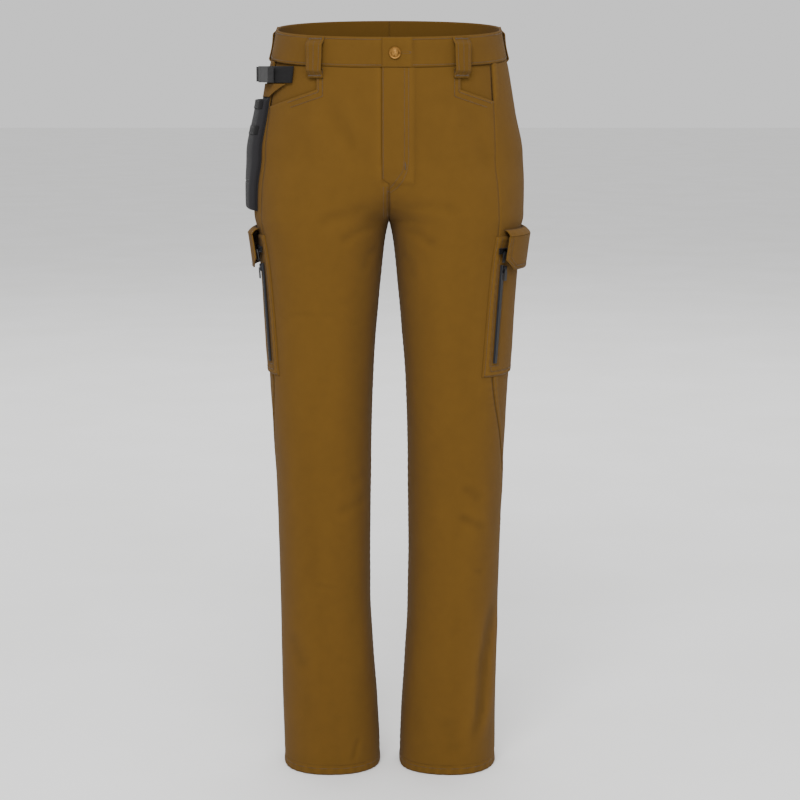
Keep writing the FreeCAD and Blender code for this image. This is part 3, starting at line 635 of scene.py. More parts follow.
def seam_line(side, edge, low, high, out=0.0):
    """A line down the garment that follows an edge curve."""
    drops = np.arange(low, high, 2.0)
    return line_on(side, drops, edge_angles(drops, edge), out)


def across_line(side, start, finish, below, out, steps):
    """A line round the body, parallel to the rim."""
    u = np.linspace(0, 1, steps)
    drops = settle(below, u, start, finish)
    return line_on(side, drops, strip_angles(drops, u, start, finish), out)


def spaced(corners):
    """Points about 2 mm apart along a line through corners."""
    spots = []
    for (a, b), (c, d) in zip(corners[:-1], corners[1:]):
        steps = max(2, int(math.hypot(c - a, d - b) / 2))
        t = np.linspace(0, 1, steps, endpoint=False)
        spots.append(np.stack([a + (c - a) * t, b + (d - b) * t], axis=1))
    spots = np.concatenate(spots + [np.array([corners[-1]], dtype=float)])
    return spots[:, 0], -spots[:, 1]


def facing_line(side, turn, corners, out, fold=1.0):
    """A line through corners given as (distance back, height)."""
    along, drops = spaced(corners)
    return line_on(side, drops, facing_angles(drops, along, turn), out, fold)


def plan_line(side, corners, front, out=0.0):
    """A line through corners given as (distance across, height)."""
    across, drops = spaced(corners)
    return line_on(side, drops, plan_angles(drops, across, front), out)


# ------------------------------------------------------------ materials
def linear(red, green, blue):
    """A screen colour, 0 to 255, as the linear colour that shaders use."""
    parts = [v / 255 for v in (red, green, blue)]
    return tuple(v / 12.92 if v <= 0.04045 else ((v + 0.055) / 1.055) ** 2.4 for v in parts)


def new_material(name, rough, metallic=0.0):
    material = bpy.data.materials.new(name)
    material.use_nodes = True
    bsdf = material.node_tree.nodes["Principled BSDF"]
    bsdf.inputs["Roughness"].default_value = rough
    bsdf.inputs["Metallic"].default_value = metallic
    return material, material.node_tree, bsdf


def add_math(tree, operation, first, second):
    """A math node; each input is a socket or a number."""
    node = tree.nodes.new("ShaderNodeMath")
    node.operation = operation
    for index, value in enumerate((first, second)):
        if isinstance(value, (int, float)):
            node.inputs[index].default_value = value
        else:
            tree.links.new(value, node.inputs[index])
    return node.outputs[0]


def add_noise(tree, scale, detail=3.0, vector=None):
    node = tree.nodes.new("ShaderNodeTexNoise")
    node.inputs["Scale"].default_value = scale
    node.inputs["Detail"].default_value = detail
    if vector is None:
        place = tree.nodes.new("ShaderNodeTexCoord")
        vector = place.outputs["Object"]
    tree.links.new(vector, node.inputs["Vector"])
    return node.outputs["Fac"]


def add_wave(tree, vector, period, direction):
    """Bands of a period in millimetres across the cloth."""
    node = tree.nodes.new("ShaderNodeTexWave")
    node.bands_direction = direction
    node.inputs["Scale"].default_value = 0.314 / (period * MM)
    node.inputs["Distortion"].default_value = 1.2
    node.inputs["Detail"].default_value = 1.0
    tree.links.new(vector, node.inputs["Vector"])
    return node.outputs["Fac"]


def add_ramp(tree, value, stops):
    node = tree.nodes.new("ShaderNodeValToRGB")
    ramp = node.color_ramp
    while len(ramp.elements) < len(stops):
        ramp.elements.new(0.5)
    for element, (place, colour) in zip(ramp.elements, stops):
        element.position = place
        element.color = (*colour, 1)
    tree.links.new(value, node.inputs["Fac"])
    return node.outputs["Color"]


def add_bump(tree, bsdf, height, strength, distance):
    node = tree.nodes.new("ShaderNodeBump")
    node.inputs["Strength"].default_value = strength
    node.inputs["Distance"].default_value = distance
    tree.links.new(height, node.inputs["Height"])
    tree.links.new(node.outputs["Normal"], bsdf.inputs["Normal"])


def shade(colour, amount):
    return tuple(v * amount for v in colour)


def cloth(name, colour, weave=0.8, rough=0.95, sheen=0.02, depth=0.35, contrast=1.0):
    """Woven cloth: twill, broad colour drift, and a per-point channel of painted shade in fold
    hollows and seam grooves, painted highlight on ridges, and lighter edges.
    """
    material, tree, bsdf = new_material(name, rough)
    bsdf.inputs["Sheen Weight"].default_value = sheen
    bsdf.inputs["Sheen Roughness"].default_value = 0.6
    bsdf.inputs["Specular IOR Level"].default_value = 0.12
    uv = tree.nodes.new("ShaderNodeUVMap")
    uv.uv_map = "UVMap"
    twill = add_wave(tree, uv.outputs["UV"], weave, "DIAGONAL")
    weft = add_wave(tree, uv.outputs["UV"], weave * 0.6, "X")
    threads = add_math(tree, "MULTIPLY", add_math(tree, "ADD", twill, weft), 0.5)
    # reads the per-point painted shade, painted highlight and edge tint
    painted_light_input = tree.nodes.new("ShaderNodeAttribute")
    painted_light_input.attribute_name = "painted_light_and_edge_tint"
    drift = add_noise(tree, 6.0, 4.0)
    mottle = add_noise(tree, 55.0, 4.0)
    slub = add_noise(tree, 900.0, 2.0)
    value = add_math(tree, "MULTIPLY_ADD", painted_light_input.outputs["Fac"], 0.2 * contrast)
    value.node.inputs[2].default_value = 0.5
    for source, share in ((drift, 0.16), (mottle, 0.14), (slub, 0.12), (threads, 0.14)):
        centred = add_math(tree, "SUBTRACT", source, 0.5)
        value = add_math(tree, "ADD", value, add_math(tree, "MULTIPLY", centred, share))
    stops = [(0.0, shade(colour, 0.55)), (0.5, colour), (1.0, shade(colour, 1.32))]
    tree.links.new(add_ramp(tree, value, stops), bsdf.inputs["Base Color"])
    height = add_math(tree, "ADD", threads, add_math(tree, "MULTIPLY", slub, 0.7))
    add_bump(tree, bsdf, height, depth, 0.00025)
    return material


def thread_material(name, colour):
    """Sewing thread: twisted, slightly glossy."""
    material, tree, bsdf = new_material(name, 0.6)
    bsdf.inputs["Sheen Weight"].default_value = 0.15
    fibre = add_noise(tree, 1500.0, 2.0)
    drift = add_noise(tree, 90.0)
    value = add_math(tree, "ADD", add_math(tree, "MULTIPLY", fibre, 0.6),
                     add_math(tree, "MULTIPLY", drift, 0.4))
    stops = [(0.3, shade(colour, 0.72)), (0.7, shade(colour, 1.2))]
    tree.links.new(add_ramp(tree, value, stops), bsdf.inputs["Base Color"])
    add_bump(tree, bsdf, fibre, 0.4, 0.0001)
    return material


def metal(name, colour, dark, rough):
    """Worn plated metal: scratches, dull patches and bright high spots."""
    material, tree, bsdf = new_material(name, rough, 1.0)
    patches = add_noise(tree, 260.0, 4.0)
    scratch_place = tree.nodes.new("ShaderNodeMapping")
    scratch_place.inputs["Scale"].default_value = (1.0, 1.0, 0.08)
    place = tree.nodes.new("ShaderNodeTexCoord")
    tree.links.new(place.outputs["Object"], scratch_place.inputs["Vector"])
    scratches = add_noise(tree, 2600.0, 3.0, scratch_place.outputs["Vector"])
    value = add_math(tree, "ADD", add_math(tree, "MULTIPLY", patches, 0.65),
                     add_math(tree, "MULTIPLY", scratches, 0.35))
    tree.links.new(add_ramp(tree, value, [(0.32, dark), (0.62, colour)]),
                   bsdf.inputs["Base Color"])
    spread = add_math(tree, "MULTIPLY_ADD", patches, 0.3)
    spread.node.inputs[2].default_value = rough - 0.12
    tree.links.new(spread, bsdf.inputs["Roughness"])
    add_bump(tree, bsdf, scratches, 0.15, 0.0001)
    return material


def moulded(name, colour, rough=0.42):
    """Moulded or painted dark finish: fine grain, duller in patches."""
    material, tree, bsdf = new_material(name, rough)
    grain = add_noise(tree, 1800.0, 2.0)
    patches = add_noise(tree, 120.0, 3.0)
    tree.links.new(add_ramp(tree, patches, [(0.3, shade(colour, 0.75)),
                                            (0.7, shade(colour, 1.35))]),
                   bsdf.inputs["Base Color"])
    spread = add_math(tree, "MULTIPLY_ADD", patches, 0.25)
    spread.node.inputs[2].default_value = rough - 0.1
    tree.links.new(spread, bsdf.inputs["Roughness"])
    add_bump(tree, bsdf, grain, 0.2, 0.00012)
    return material


TAN = linear(88, 62, 20)
CANVAS = cloth("canvas", TAN)
BAND_CANVAS = cloth("band_canvas", shade(TAN, 0.95), contrast=1.1)
LINING = cloth("lining_canvas", shade(TAN, 0.85))
CARGO_CANVAS = cloth("cargo_canvas", shade(TAN, 1.0))
POCKETING = cloth("pocketing", linear(176, 150, 108), weave=0.5)
NYLON = cloth("holster_nylon", linear(30, 29, 31), weave=1.1, rough=0.8, sheen=0.05, depth=0.6)
WEBBING = cloth("webbing", linear(20, 19, 20), weave=1.8, rough=0.7, sheen=0.03, depth=0.9)
ZIP_TAPE = cloth("zip_tape", linear(26, 27, 31), weave=0.7, rough=0.6, sheen=0.03, depth=0.5)
FLY_TAPE = cloth("fly_tape", linear(96, 66, 30), weave=0.7)
# thread colour darkened to stand in for the shadows of the stitch holes: partly the thread's
# own colour, partly painted shade
SHADED_TAN_THREAD = thread_material("tan_thread_hole_shade", linear(60, 41, 12))
BLACK_THREAD = thread_material("black_thread", linear(26, 26, 28))
BRASS = metal("brass", linear(150, 110, 56), linear(92, 60, 24), 0.42)
GUNMETAL = metal("gunmetal", linear(60, 60, 64), linear(26, 26, 28), 0.38)
COIL = moulded("zip_coil", linear(15, 15, 19), 0.42)
PULL = moulded("pull_rubber", linear(14, 14, 16), 0.5)
PLASTIC = moulded("buckle_plastic", linear(15, 14, 15), 0.42)


# ------------------------------------------------------------ trouser pieces
WORD = {1: "left", -1: "right"}
LEG_END = 1082.0
SCOOP_X, SCOOP_DROP, SCOOP_SLOPE = 101.0, 86.0, 0.35
YOKE_SIDE, YOKE_SLOPE, YOKE_REACH = 84.0, 0.16, 220.0


def edge_run(sheet, edge):
    """Distance round the body of each point of a sheet from an edge curve."""
    at_edge = edge_angles(sheet.drops, edge)
    return np.abs(sheet.run() - run_length(sheet.drops, at_edge))


def guide_edge(across):
    """An edge curve that keeps one distance from the middle, down the front."""
    return plan_angles(TABLE_DROPS.astype(float), np.full(len(TABLE_DROPS), across), True)


def seam_shows(drops):
    """The side seam shows above the pocket mouth and below the thigh pocket."""
    return np.maximum(ease((104 - drops) / 8), ease((drops - 482) / 16))


def front_panel(side):
    """The front of one leg, cut away at the top corner for the pocket."""
    word = WORD[side]
    guide = guide_edge(SCOOP_X)
    lap = FRONT_EDGE[side] if side > 0 else offset_edge(FRONT_EDGE[-1], -9.0)
    split, columns, upper, rows = 36, 54, 18, 330
    u_inner = np.linspace(0, 1, split + 1)
    u_outer = np.linspace(0, 1, columns - split + 1)[1:]

    def two_spans(drops):
        inner = strip_angles(drops[:, :split + 1],
                             np.broadcast_to(u_inner, drops[:, :split + 1].shape), lap, guide)
        outer = strip_angles(drops[:, split + 1:],
                             np.broadcast_to(u_outer, drops[:, split + 1:].shape),
                             guide, SIDE_SEAM[side])
        return np.concatenate([inner, outer], axis=1)

    top = np.full((1, columns + 1), BAND)
    middle = np.full((1, columns + 1), SCOOP_DROP)
    for _ in range(4):
        spots = skin(top, two_spans(top), 0)
        top = BAND * math.sqrt(1 + TILT**2) - TILT * spots[..., 1]
        spots = skin(middle, two_spans(middle), 0)
        middle = SCOOP_DROP + SCOOP_SLOPE * np.maximum(0, spots[..., 0] - SCOOP_X)
    high = np.linspace(0, 1, upper + 1)[:, None]
    low = np.linspace(0, 1, rows - upper + 1)[1:, None]
    drops = np.concatenate([top + (middle - top) * high,
                            middle + (LEG_END - middle) * low])
    sheet = Sheet(side, drops, two_spans(drops))
    keep = np.ones((rows, columns), dtype=bool)
    keep[:upper, split:] = False
    sheet.keep = keep
    seam = edge_run(sheet, SIDE_SEAM[side])
    shown = seam_shows(drops)
    sheet.out += shown * seam_relief(seam, drops)
    inseam = edge_run(sheet, FRONT_EDGE[side])
    low_down = ease((drops - FLY_END) / 20)
    sheet.out += low_down * seam_relief(inseam, drops)
    x = sheet.base[..., 0]
    if side > 0:
        lap_lift = 1.1 * ease((36 - x) / 3) * ease((FLY_END + 4 - drops) / 8)
        sheet.out += lap_lift
    else:
        sheet.out -= 1.9 * ease((12 - x) / 4) * ease((FLY_END + 4 - drops) / 8)
    mouth = np.minimum(np.where(drops < SCOOP_DROP, np.abs(SCOOP_X - x), 99),
                       np.where(x >= SCOOP_X - 2, np.abs(drops - middle), 99))
    sheet.out += 0.25 * ease((8 - mouth) / 3) - 0.25 * np.exp(-((mouth - 7) / 1.2)**2)
    # lighter along the pocket mouth's edge; painted shade along the side seam's groove
    sheet.shade_and_edge_tint += 0.25 * np.exp(-mouth / 2.5) - 0.35 * shown * np.exp(-seam / 1.6)
    sheet.finish("front_panel_" + word, CANVAS, "leg_canvas", ["waistband_" + word + "_cloth"])


def yoke_drop(x):
    return YOKE_SIDE + YOKE_SLOPE * (YOKE_REACH - x)


def yoke_line(start, finish, columns):
    """Drops of the seam between the back yoke and the back panel."""
    u = np.linspace(0, 1, columns + 1)
    drops = np.full(u.shape, 100.0)
    for _ in range(5):
        x = skin(drops, strip_angles(drops, u, start, finish), 0)[..., 0]
        drops = yoke_drop(x)
    return drops


def leg_backs(side):
    """The side panel, the back panel and the yoke of one leg."""
    word = WORD[side]
    u = np.linspace(0, 1, 49)
    top = settle(BAND, u, SIDE_SEAM[side], BACK_SEAM)
    panel = strip(side, SIDE_SEAM[side], BACK_SEAM, top, LEG_END, 330, 48)
    for edge, shown in ((SIDE_SEAM[side], seam_shows(panel.drops)), (BACK_SEAM, 1.0)):
        distance = edge_run(panel, edge)
        panel.out += shown * seam_relief(distance, panel.drops, 0.55)
        # painted shade along the seam grooves
        panel.shade_and_edge_tint -= 0.35 * shown * np.exp(-distance / 1.6)
    panel.finish("side_panel_" + word, CANVAS, "leg_canvas", ["waistband_" + word + "_cloth"])

    columns = 58
    line = yoke_line(BACK_SEAM, BACK_EDGE, columns)
    panel = strip(side, BACK_SEAM, BACK_EDGE, line, LEG_END, 310, columns)
    for edge in (BACK_SEAM, BACK_EDGE):
        distance = edge_run(panel, edge)
        panel.out += seam_relief(distance, panel.drops)
        # painted shade along the seam grooves
        panel.shade_and_edge_tint -= 0.35 * np.exp(-distance / 1.6)
    below = panel.drops - line
    panel.out += seam_relief(below, panel.run())
    panel.finish("back_panel_" + word, CANVAS, "leg_canvas", ["yoke_" + word + "_cloth"])

    u = np.linspace(0, 1, columns + 1)
    top = settle(BAND, u, BACK_SEAM, BACK_EDGE)
    yoke = strip(side, BACK_SEAM, BACK_EDGE, top, line, 26, columns)
    distance = np.minimum(edge_run(yoke, BACK_SEAM), edge_run(yoke, BACK_EDGE))
    run = yoke.run()
    yoke.out += seam_relief(distance, run) + seam_relief(line - yoke.drops, run, 0.6)
    yoke.finish("yoke_" + word, CANVAS, "yoke_canvas", ["waistband_" + word + "_cloth"])


def waistband(side):
    """The stiff band, its lining, and the puckers along its topstitching."""
    word = WORD[side]
    columns = 150
    u = np.linspace(0, 1, columns + 1)
    start = FRONT_EDGE[side]
    top = settle(0.3, u, start, BACK_EDGE)
    bottom = settle(BAND, u, start, BACK_EDGE)
    band = strip(side, start, BACK_EDGE, top, bottom, 22, columns, out=1.2)
    v = np.linspace(0, 1, 23)[:, None] * BAND
    run = band.run()
    edge = np.minimum(v, BAND - v)
    band.out -= 0.9 * np.exp(-edge / 1.3)
    band.out -= 0.28 * np.exp(-((edge - 4) / 1.2) ** 2)
    band.out += 0.08 * np.exp(-((edge - 8) / 5) ** 2) * np.sin(run / 2.1)
    band.out += 0.35 * np.sin(run / 19 + v / 9)
    if side > 0:
        band.out += 1.3 * ease((34 - band.base[..., 0]) / 5) * (band.base[..., 1] < 0)
    # lighter along the rim; painted shade along the band's lower edge
    band.shade_and_edge_tint += 0.3 * np.exp(-v / 1.5) - 0.25 * np.exp(-(BAND - v) / 1.2)
    band.finish("waistband_" + word, BAND_CANVAS, "band_canvas",
                ["waistband_lining_" + word + "_cloth"], held="stretched", thick=2.1)

    lining = strip(side, start, BACK_EDGE, top + 0.4, bottom, 20, columns, out=-1.25, fold=0)
    v = np.linspace(0, 1, 21)[:, None] * BAND
    run = lining.run()
    lining.out += 0.2 * np.sin(run / 3.4) * np.exp(-((v - 38) / 5) ** 2)
    lining.finish("waistband_lining_" + word, LINING, "band_lining",
                  ["waistband_" + word + "_cloth"], held="stretched", thick=1.2)


def hem(side):
    """The turned-up foot of a leg."""
    word = WORD[side]
    columns = 130
    ring = np.full(len(TABLE_DROPS), 1.0)
    sheet = strip(side, -math.pi * ring, math.pi * ring, LEG_END - 1.5, HEM - 0.3, 12, columns)
    v = sheet.drops - LEG_END
    run = sheet.run()
    sheet.out += 0.55 * ease(v / 2) - 0.3 * np.exp(-((v - 3.3) / 0.9) ** 2)
    sheet.out += 0.35 * ease(v / 5) * np.sin(run / 2.3 + np.sin(run / 31) * 3)
    sheet.out -= 0.8 * np.exp(sheet.drops - HEM)
    sheet.shade_and_edge_tint += 0.25 * np.exp(-(HEM - sheet.drops) / 1.5)
    sheet.finish("hem_" + word, CANVAS, "hem_canvas",
                 ["front_panel_" + word + "_cloth"], held="folded", thick=2.6)


FACING_OUT, FACING_FOOT = -2.5, 150.0
BAG_EDGE, BAG_OUT, BAG_FOOT = 49.0, -4.2, 269.0


def front_pocket(side):
    """The facing that shows in the pocket mouth and the bag behind it."""
    word = WORD[side]
    start = guide_edge(SCOOP_X - 14)
    u = np.linspace(0, 1, 31)
    top = settle(BAND, u, start, SIDE_SEAM[side])
    facing = strip(side, start, SIDE_SEAM[side], top, FACING_FOOT, 40, 30,
                   out=FACING_OUT)
    # painted shade on the facing inside the pocket mouth
    facing.shade_and_edge_tint -= 0.45 * np.exp(-np.abs(facing.base[..., 0] - SCOOP_X) / 3)
    facing.finish("pocket_facing_" + word, BAND_CANVAS, "facing_canvas",
                  ["front_panel_" + word + "_cloth"], thick=1.0)
    start = guide_edge(BAG_EDGE)
    u = np.linspace(0, 1, 37)
    top = settle(BAND + 1, u, start, SIDE_SEAM[side])
    bag = strip(side, start, SIDE_SEAM[side], top, BAG_FOOT, 60, 36, out=BAG_OUT)
    x = bag.base[..., 0]
    bag.out += 0.5 * np.sin(x / 9) * np.sin(bag.drops / 23)
    bag.finish("pocket_bag_" + word, POCKETING, "pocketing",
               ["pocket_facing_" + word + "_cloth"], thick=0.7)


PATCH = {"inner": 44.0, "outer": 148.0, "top": 128.0, "low": 278.0, "point": 18.0}


def back_pocket(side):
    """A pointed patch pocket on the seat."""
    word = WORD[side]
    inner, outer = PATCH["inner"], PATCH["outer"]
    u = np.linspace(inner, outer, 43)
    middle = (inner + outer) / 2
    foot = PATCH["low"] - PATCH["point"] * np.abs(u - middle) / (outer - middle)
    v = np.linspace(0, 1, 61)[:, None]
    drops = PATCH["top"] + (foot - PATCH["top"]) * v
    across = np.broadcast_to(u, drops.shape)
    sheet = Sheet(side, drops, plan_angles(drops, across, False), 1.5)
    edge = np.minimum(np.minimum(across - inner, outer - across), (foot - drops) * 0.9)
    hemmed = drops - PATCH["top"]
    run = across + drops
    sheet.out -= 0.9 * np.exp(-edge / 1.2)
    sheet.out += 0.2 * np.exp(-((edge - 6) / 4) ** 2) * np.sin(run / 1.9)
    sheet.out += 0.9 * ease(edge / 30) * ease(1.3 - hemmed / 160)
    sheet.out += 0.4 * ease((24 - hemmed) / 1.5) * ease(hemmed / 1.5)
    sheet.shade_and_edge_tint += 0.28 * np.exp(-np.minimum(edge, hemmed) / 2.0)
    sheet.finish("back_pocket_" + word, CARGO_CANVAS, "patch_canvas",
                 ["back_panel_" + word + "_cloth"], held="laid")


# ------------------------------------------------------------ belt loops
def outline_frame(drop, angle, out):
    """A point of the outline, its level direction round the body, and outward."""
    drops = np.array([drop])
    here = skin(drops, np.array([angle]), out)[0]
    ahead = skin(drops, np.array([angle + 0.02]), out)[0]
    along = ahead - here
    along[2] = 0
    along /= np.linalg.norm(along)
    outward = np.array([along[1], -along[0], 0.0])
    return here, along, outward


LOOP_LONG = 56.4
LOOP_BELOW_RIM = 1.8
LOOP_HALF = 13.0
LOOP_TAPER = 1.6
LOOP_BULGE = 6.6


def belt_loop(word, side, angle, thread):
    """A folded strip that stands off the band, with three sewn rows."""
    here, along, outward = outline_frame(20.0, angle, 1.5)
    rim = TILT * here[1]
    t = np.linspace(0, 1, 61)
    z = rim - LOOP_BELOW_RIM - LOOP_LONG * t
    spots = skin(-z, np.full(t.shape, angle), 1.4)
    hug = (spots - here) @ outward
    bulge = LOOP_BULGE * ease((t - 0.06) / 0.12) * ease((0.94 - t) / 0.12)
    offset = hug + 1.9 + bulge + 0.35 * np.sin(t * 9)
    kernel = np.ones(5) / 5
    offset = np.convolve(np.pad(offset, 2, mode="edge"), kernel, mode="valid")
    across = np.linspace(-1, 1, 13)
    half = LOOP_HALF - LOOP_TAPER * t
    flip = np.array([side, 1, 1])
    grid = (here * [1, 1, 0] + outward * offset[:, None])[:, None, :] \
        + along * (half[:, None] * across)[..., None]
    grid[..., 2] = z[:, None]
    rounded = (np.abs(across) ** 6) * 0.8
    ridge = 0.25 * np.cos(across * math.pi * 2)
    grid = grid + outward * (ridge - rounded)[None, :, None]
    faces = grid_faces(60, 12, side > 0)
    uvs = np.stack(np.broadcast_arrays(half[:, None] * across, z[:, None]), axis=-1) * MM
    painted_light_and_edge_tint = np.broadcast_to(0.35 * np.abs(across) ** 5 - 0.1, (61, 13))
    obj = new_object("belt_loop_" + word + "_cloth", (grid * flip * MM).reshape(-1, 3), faces,
                     uvs.reshape(-1, 2), painted_light_and_edge_tint)
    thicken(obj, 1.7)
    place_piece(obj, BAND_CANVAS, nodes=["belt_loop_" + word])
    normal = np.broadcast_to(outward * flip, (61, 3))
    for column in (2, 6, 10):
        thread.run((grid[:, column] * flip * MM + normal * 0.1 * MM, normal))
    for row in (3, 57):
        spot = grid[row, 6] * flip * MM
        thread.bar(spot, along * flip, outward * flip, 20.0, 30)


def belt_loops():
    thread = Thread()
    front = float(plan_angles(np.array([20.0]), np.array([100.0]), True)[0])
    back = float(plan_angles(np.array([20.0]), np.array([82.0]), False)[0])
    centre = float(plan_angles(np.array([20.0]), np.array([0.0]), False)[0])
    row = OUTLINES[table_row(20)]
    bearing = np.degrees(np.arctan2(row[QUARTER:3 * QUARTER, 1], row[QUARTER:3 * QUARTER, 0]))
    aside = float(np.interp(14.0, bearing, FINE[QUARTER:3 * QUARTER]))
    for side in (1, -1):
        for spot, angle in (("front", front), ("side", aside), ("back", back)):
            belt_loop(spot + "_" + WORD[side], side, angle, thread)
    belt_loop("centre_back", 1, centre, thread)
    thread.build("belt_loop_stitching", SHADED_TAN_THREAD, "loop_canvas")


# ------------------------------------------------------------ sewing
def leg_sewing(side):
    """The topstitched rows of one half of the garment."""
    word = WORD[side]
    thread = Thread()
    start = FRONT_EDGE[side]
    for below in (3.6, BAND - 3.4):
        thread.run(across_line(side, start, BACK_EDGE, below, out=1.2, steps=300))
    for edge, offsets, top in ((SIDE_SEAM[side], (2.4, 8.6), CARGO_LOW - 4),
                               (BACK_SEAM, (-2.4, -8.6), 60)):
        for offset in offsets:
            thread.run(seam_line(side, offset_edge(edge, offset), top, LEG_END - 4, out=0.35))
    ring = np.full(len(TABLE_DROPS), math.pi * 0.999)
    u = np.linspace(0, 1, 300)
    drops = np.full(u.shape, HEM - 9.7)
    thread.run(line_on(side, drops, strip_angles(drops, u, -ring, ring), out=0.3))
    corner = SCOOP_DROP + 1.0
    mouth = [(SCOOP_X - 3.0, -56), (SCOOP_X - 3.0, -corner - 2.0),
             (SCOOP_X + 44, -corner - 2.0 - SCOOP_SLOPE * 46)]
    for shift in (0.0, 6.0):
        line = [(x - shift, z - (shift if z < -60 else 0)) for x, z in mouth]
        thread.run(plan_line(side, line, True, out=0.6))
    columns = 60
    line = yoke_line(BACK_SEAM, BACK_EDGE, columns)
    u = np.linspace(0, 1, columns + 1)
    for shift in (2.4, 8.2):
        drops = line - shift
        thread.run(line_on(side, drops, strip_angles(drops, u, BACK_SEAM, BACK_EDGE), out=0.6))
    inner, outer = PATCH["inner"], PATCH["outer"]
    middle = (inner + outer) / 2
    for inset in (2.2, 8.0):
        low = PATCH["low"] - inset * 1.1
        outline = [(inner + inset, -PATCH["top"] - 1), (inner + inset, -low + PATCH["point"]),
                   (middle, -low), (outer - inset, -low + PATCH["point"]),
                   (outer - inset, -PATCH["top"] - 1)]
        thread.run(plan_line(side, outline, False, out=2.1))
    hemmed = -PATCH["top"] - 22
    thread.run(plan_line(side, [(inner + 2, hemmed), (outer - 2, hemmed)], False, out=2.4))
    if side < 0:
        for offset in (2.2, 7.6):
            thread.run(seam_line(side, offset_edge(BACK_EDGE, -offset), 62, 262, out=0.3))
    thread.build("seam_stitching_" + word, SHADED_TAN_THREAD, "leg_canvas")


def fly_sewing():
    """The curved double row beside the lap, the crotch rows and the bartacks."""
    thread = Thread()
    for shift in (0.0, 5.8):
        path = [(28 - shift, -56), (28 - shift, -184 + shift * 0.4), (25.6 - shift, -200),
                (20 - shift, -213 + shift), (12 - shift * 0.8, -223 + shift), (1, -231 + shift)]
        thread.run(plan_line(1, path, True, out=1.2))
    thread.run(plan_line(1, [(-7.4, -56), (-7.4, -FLY_END + 4)], True, out=1.2))
    for x in (2.2, 7.4):
        thread.run(plan_line(-1, [(x, -FLY_END - 6), (x, -268)], True, out=0.2))
    for x, z, across, down in ((23.5, -192, 0, 9), (-3.0, -228, 8, 0)):
        spots, normals = plan_line(1, [(x, z), (x + 0.5 * across, z - 0.5 * down - 0.1)], True,
                                   out=1.5)
        direction = np.array([across, 0, -down], dtype=float)
        thread.bar(spots[0], direction, normals[0], max(across, down), 16)
    hole = [(24 + 6.5 * math.cos(a), -34.5 + 1.9 * math.sin(a))
            for a in np.linspace(0, 2 * math.pi, 40)]
    thread.run(plan_line(1, hole, True, out=2.0), pitch=0.8, length=0.9)
    thread.build("fly_stitching", SHADED_TAN_THREAD, "leg_canvas", wide=0.35)


# ------------------------------------------------------------ zips
def zip_strip(name, path, normals, half, cloth_look, coil_look):
    """Tape and closed coil along a path; half is half the tape's width."""
    gaps = np.linalg.norm(np.diff(path, axis=0), axis=1)
    travel = np.concatenate([[0], np.cumsum(gaps)])
    steps = int(travel[-1] / 0.45)
    s = np.linspace(0, travel[-1], steps + 1)
    line = np.stack([np.interp(s, travel, path[:, k]) for k in range(3)], axis=1)
    normal = np.stack([np.interp(s, travel, normals[:, k]) for k in range(3)], axis=1)
    normal /= np.linalg.norm(normal, axis=1)[:, None]
    ahead = np.gradient(line, axis=0)
    ahead /= np.linalg.norm(ahead, axis=1)[:, None]
    across = np.cross(ahead, normal)

    tape_u = np.array([-half, -half + 0.7, -3.0, -2.4, 2.4, 3.0, half - 0.7, half])
    tape_h = np.array([-0.5, 0.0, 0.0, 0.25, 0.25, 0.0, 0.0, -0.5])
    coil_u = np.array([-2.15, -2.0, -1.4, -0.5, -0.12, 0.0, 0.12, 0.5, 1.4, 2.0, 2.15])
    coil_h = np.array([0.0, 0.8, 1.45, 1.55, 1.1, 0.75, 1.1, 1.55, 1.45, 0.8, 0.0])
    beat = 2 * math.pi * s / 1.35
    for label, u, h, ribs, look in (("tape", tape_u, tape_h, 0.0, cloth_look),
                                    ("coil", coil_u, coil_h, 0.22, coil_look)):
        shift = np.where(u < 0, math.pi, 0.0)
        height = h + ribs * np.sin(beat[:, None] + shift) * (h > 0.5)
        grid = line[:, None] + across[:, None] * u[:, None]
        grid = grid + normal[:, None] * height[..., None]
        flat = (np.stack(np.broadcast_arrays(u, s[:, None]), axis=-1) * MM).reshape(-1, 2)
        faces = grid_faces(len(s) - 1, len(u) - 1, False)
        obj = new_object(name + "_" + label, grid.reshape(-1, 3) * MM, faces, flat,
                         np.zeros(grid.shape[:2]))
        thicken(obj, 0.5)
        place_piece(obj, look, nodes=[name] if label == "tape" else ())


POCKET_FACE = 3.0         # how far the thigh pocket's face stands off the leg
ZIP_LIFT = 1.6
MOUTH_LIFT = 2.2
NARROW_TAPE = 4.3         # half width of the thigh zips' tape
FLY_TAPE_HALF = 12.5
SIDE_ZIP_AT = -60.0
SIDE_ZIP_DROPS = (334.0, 476.0)
MOUTH_DROP = 314.0
MOUTH_BEARINGS = np.array([45.0, 8.0, -30.0])


def facing_spot(turn, along, drop, out):
    angle = facing_angles(np.array([drop]), np.array([along]), turn)
    return skin(np.array([drop]), angle, out)[0]


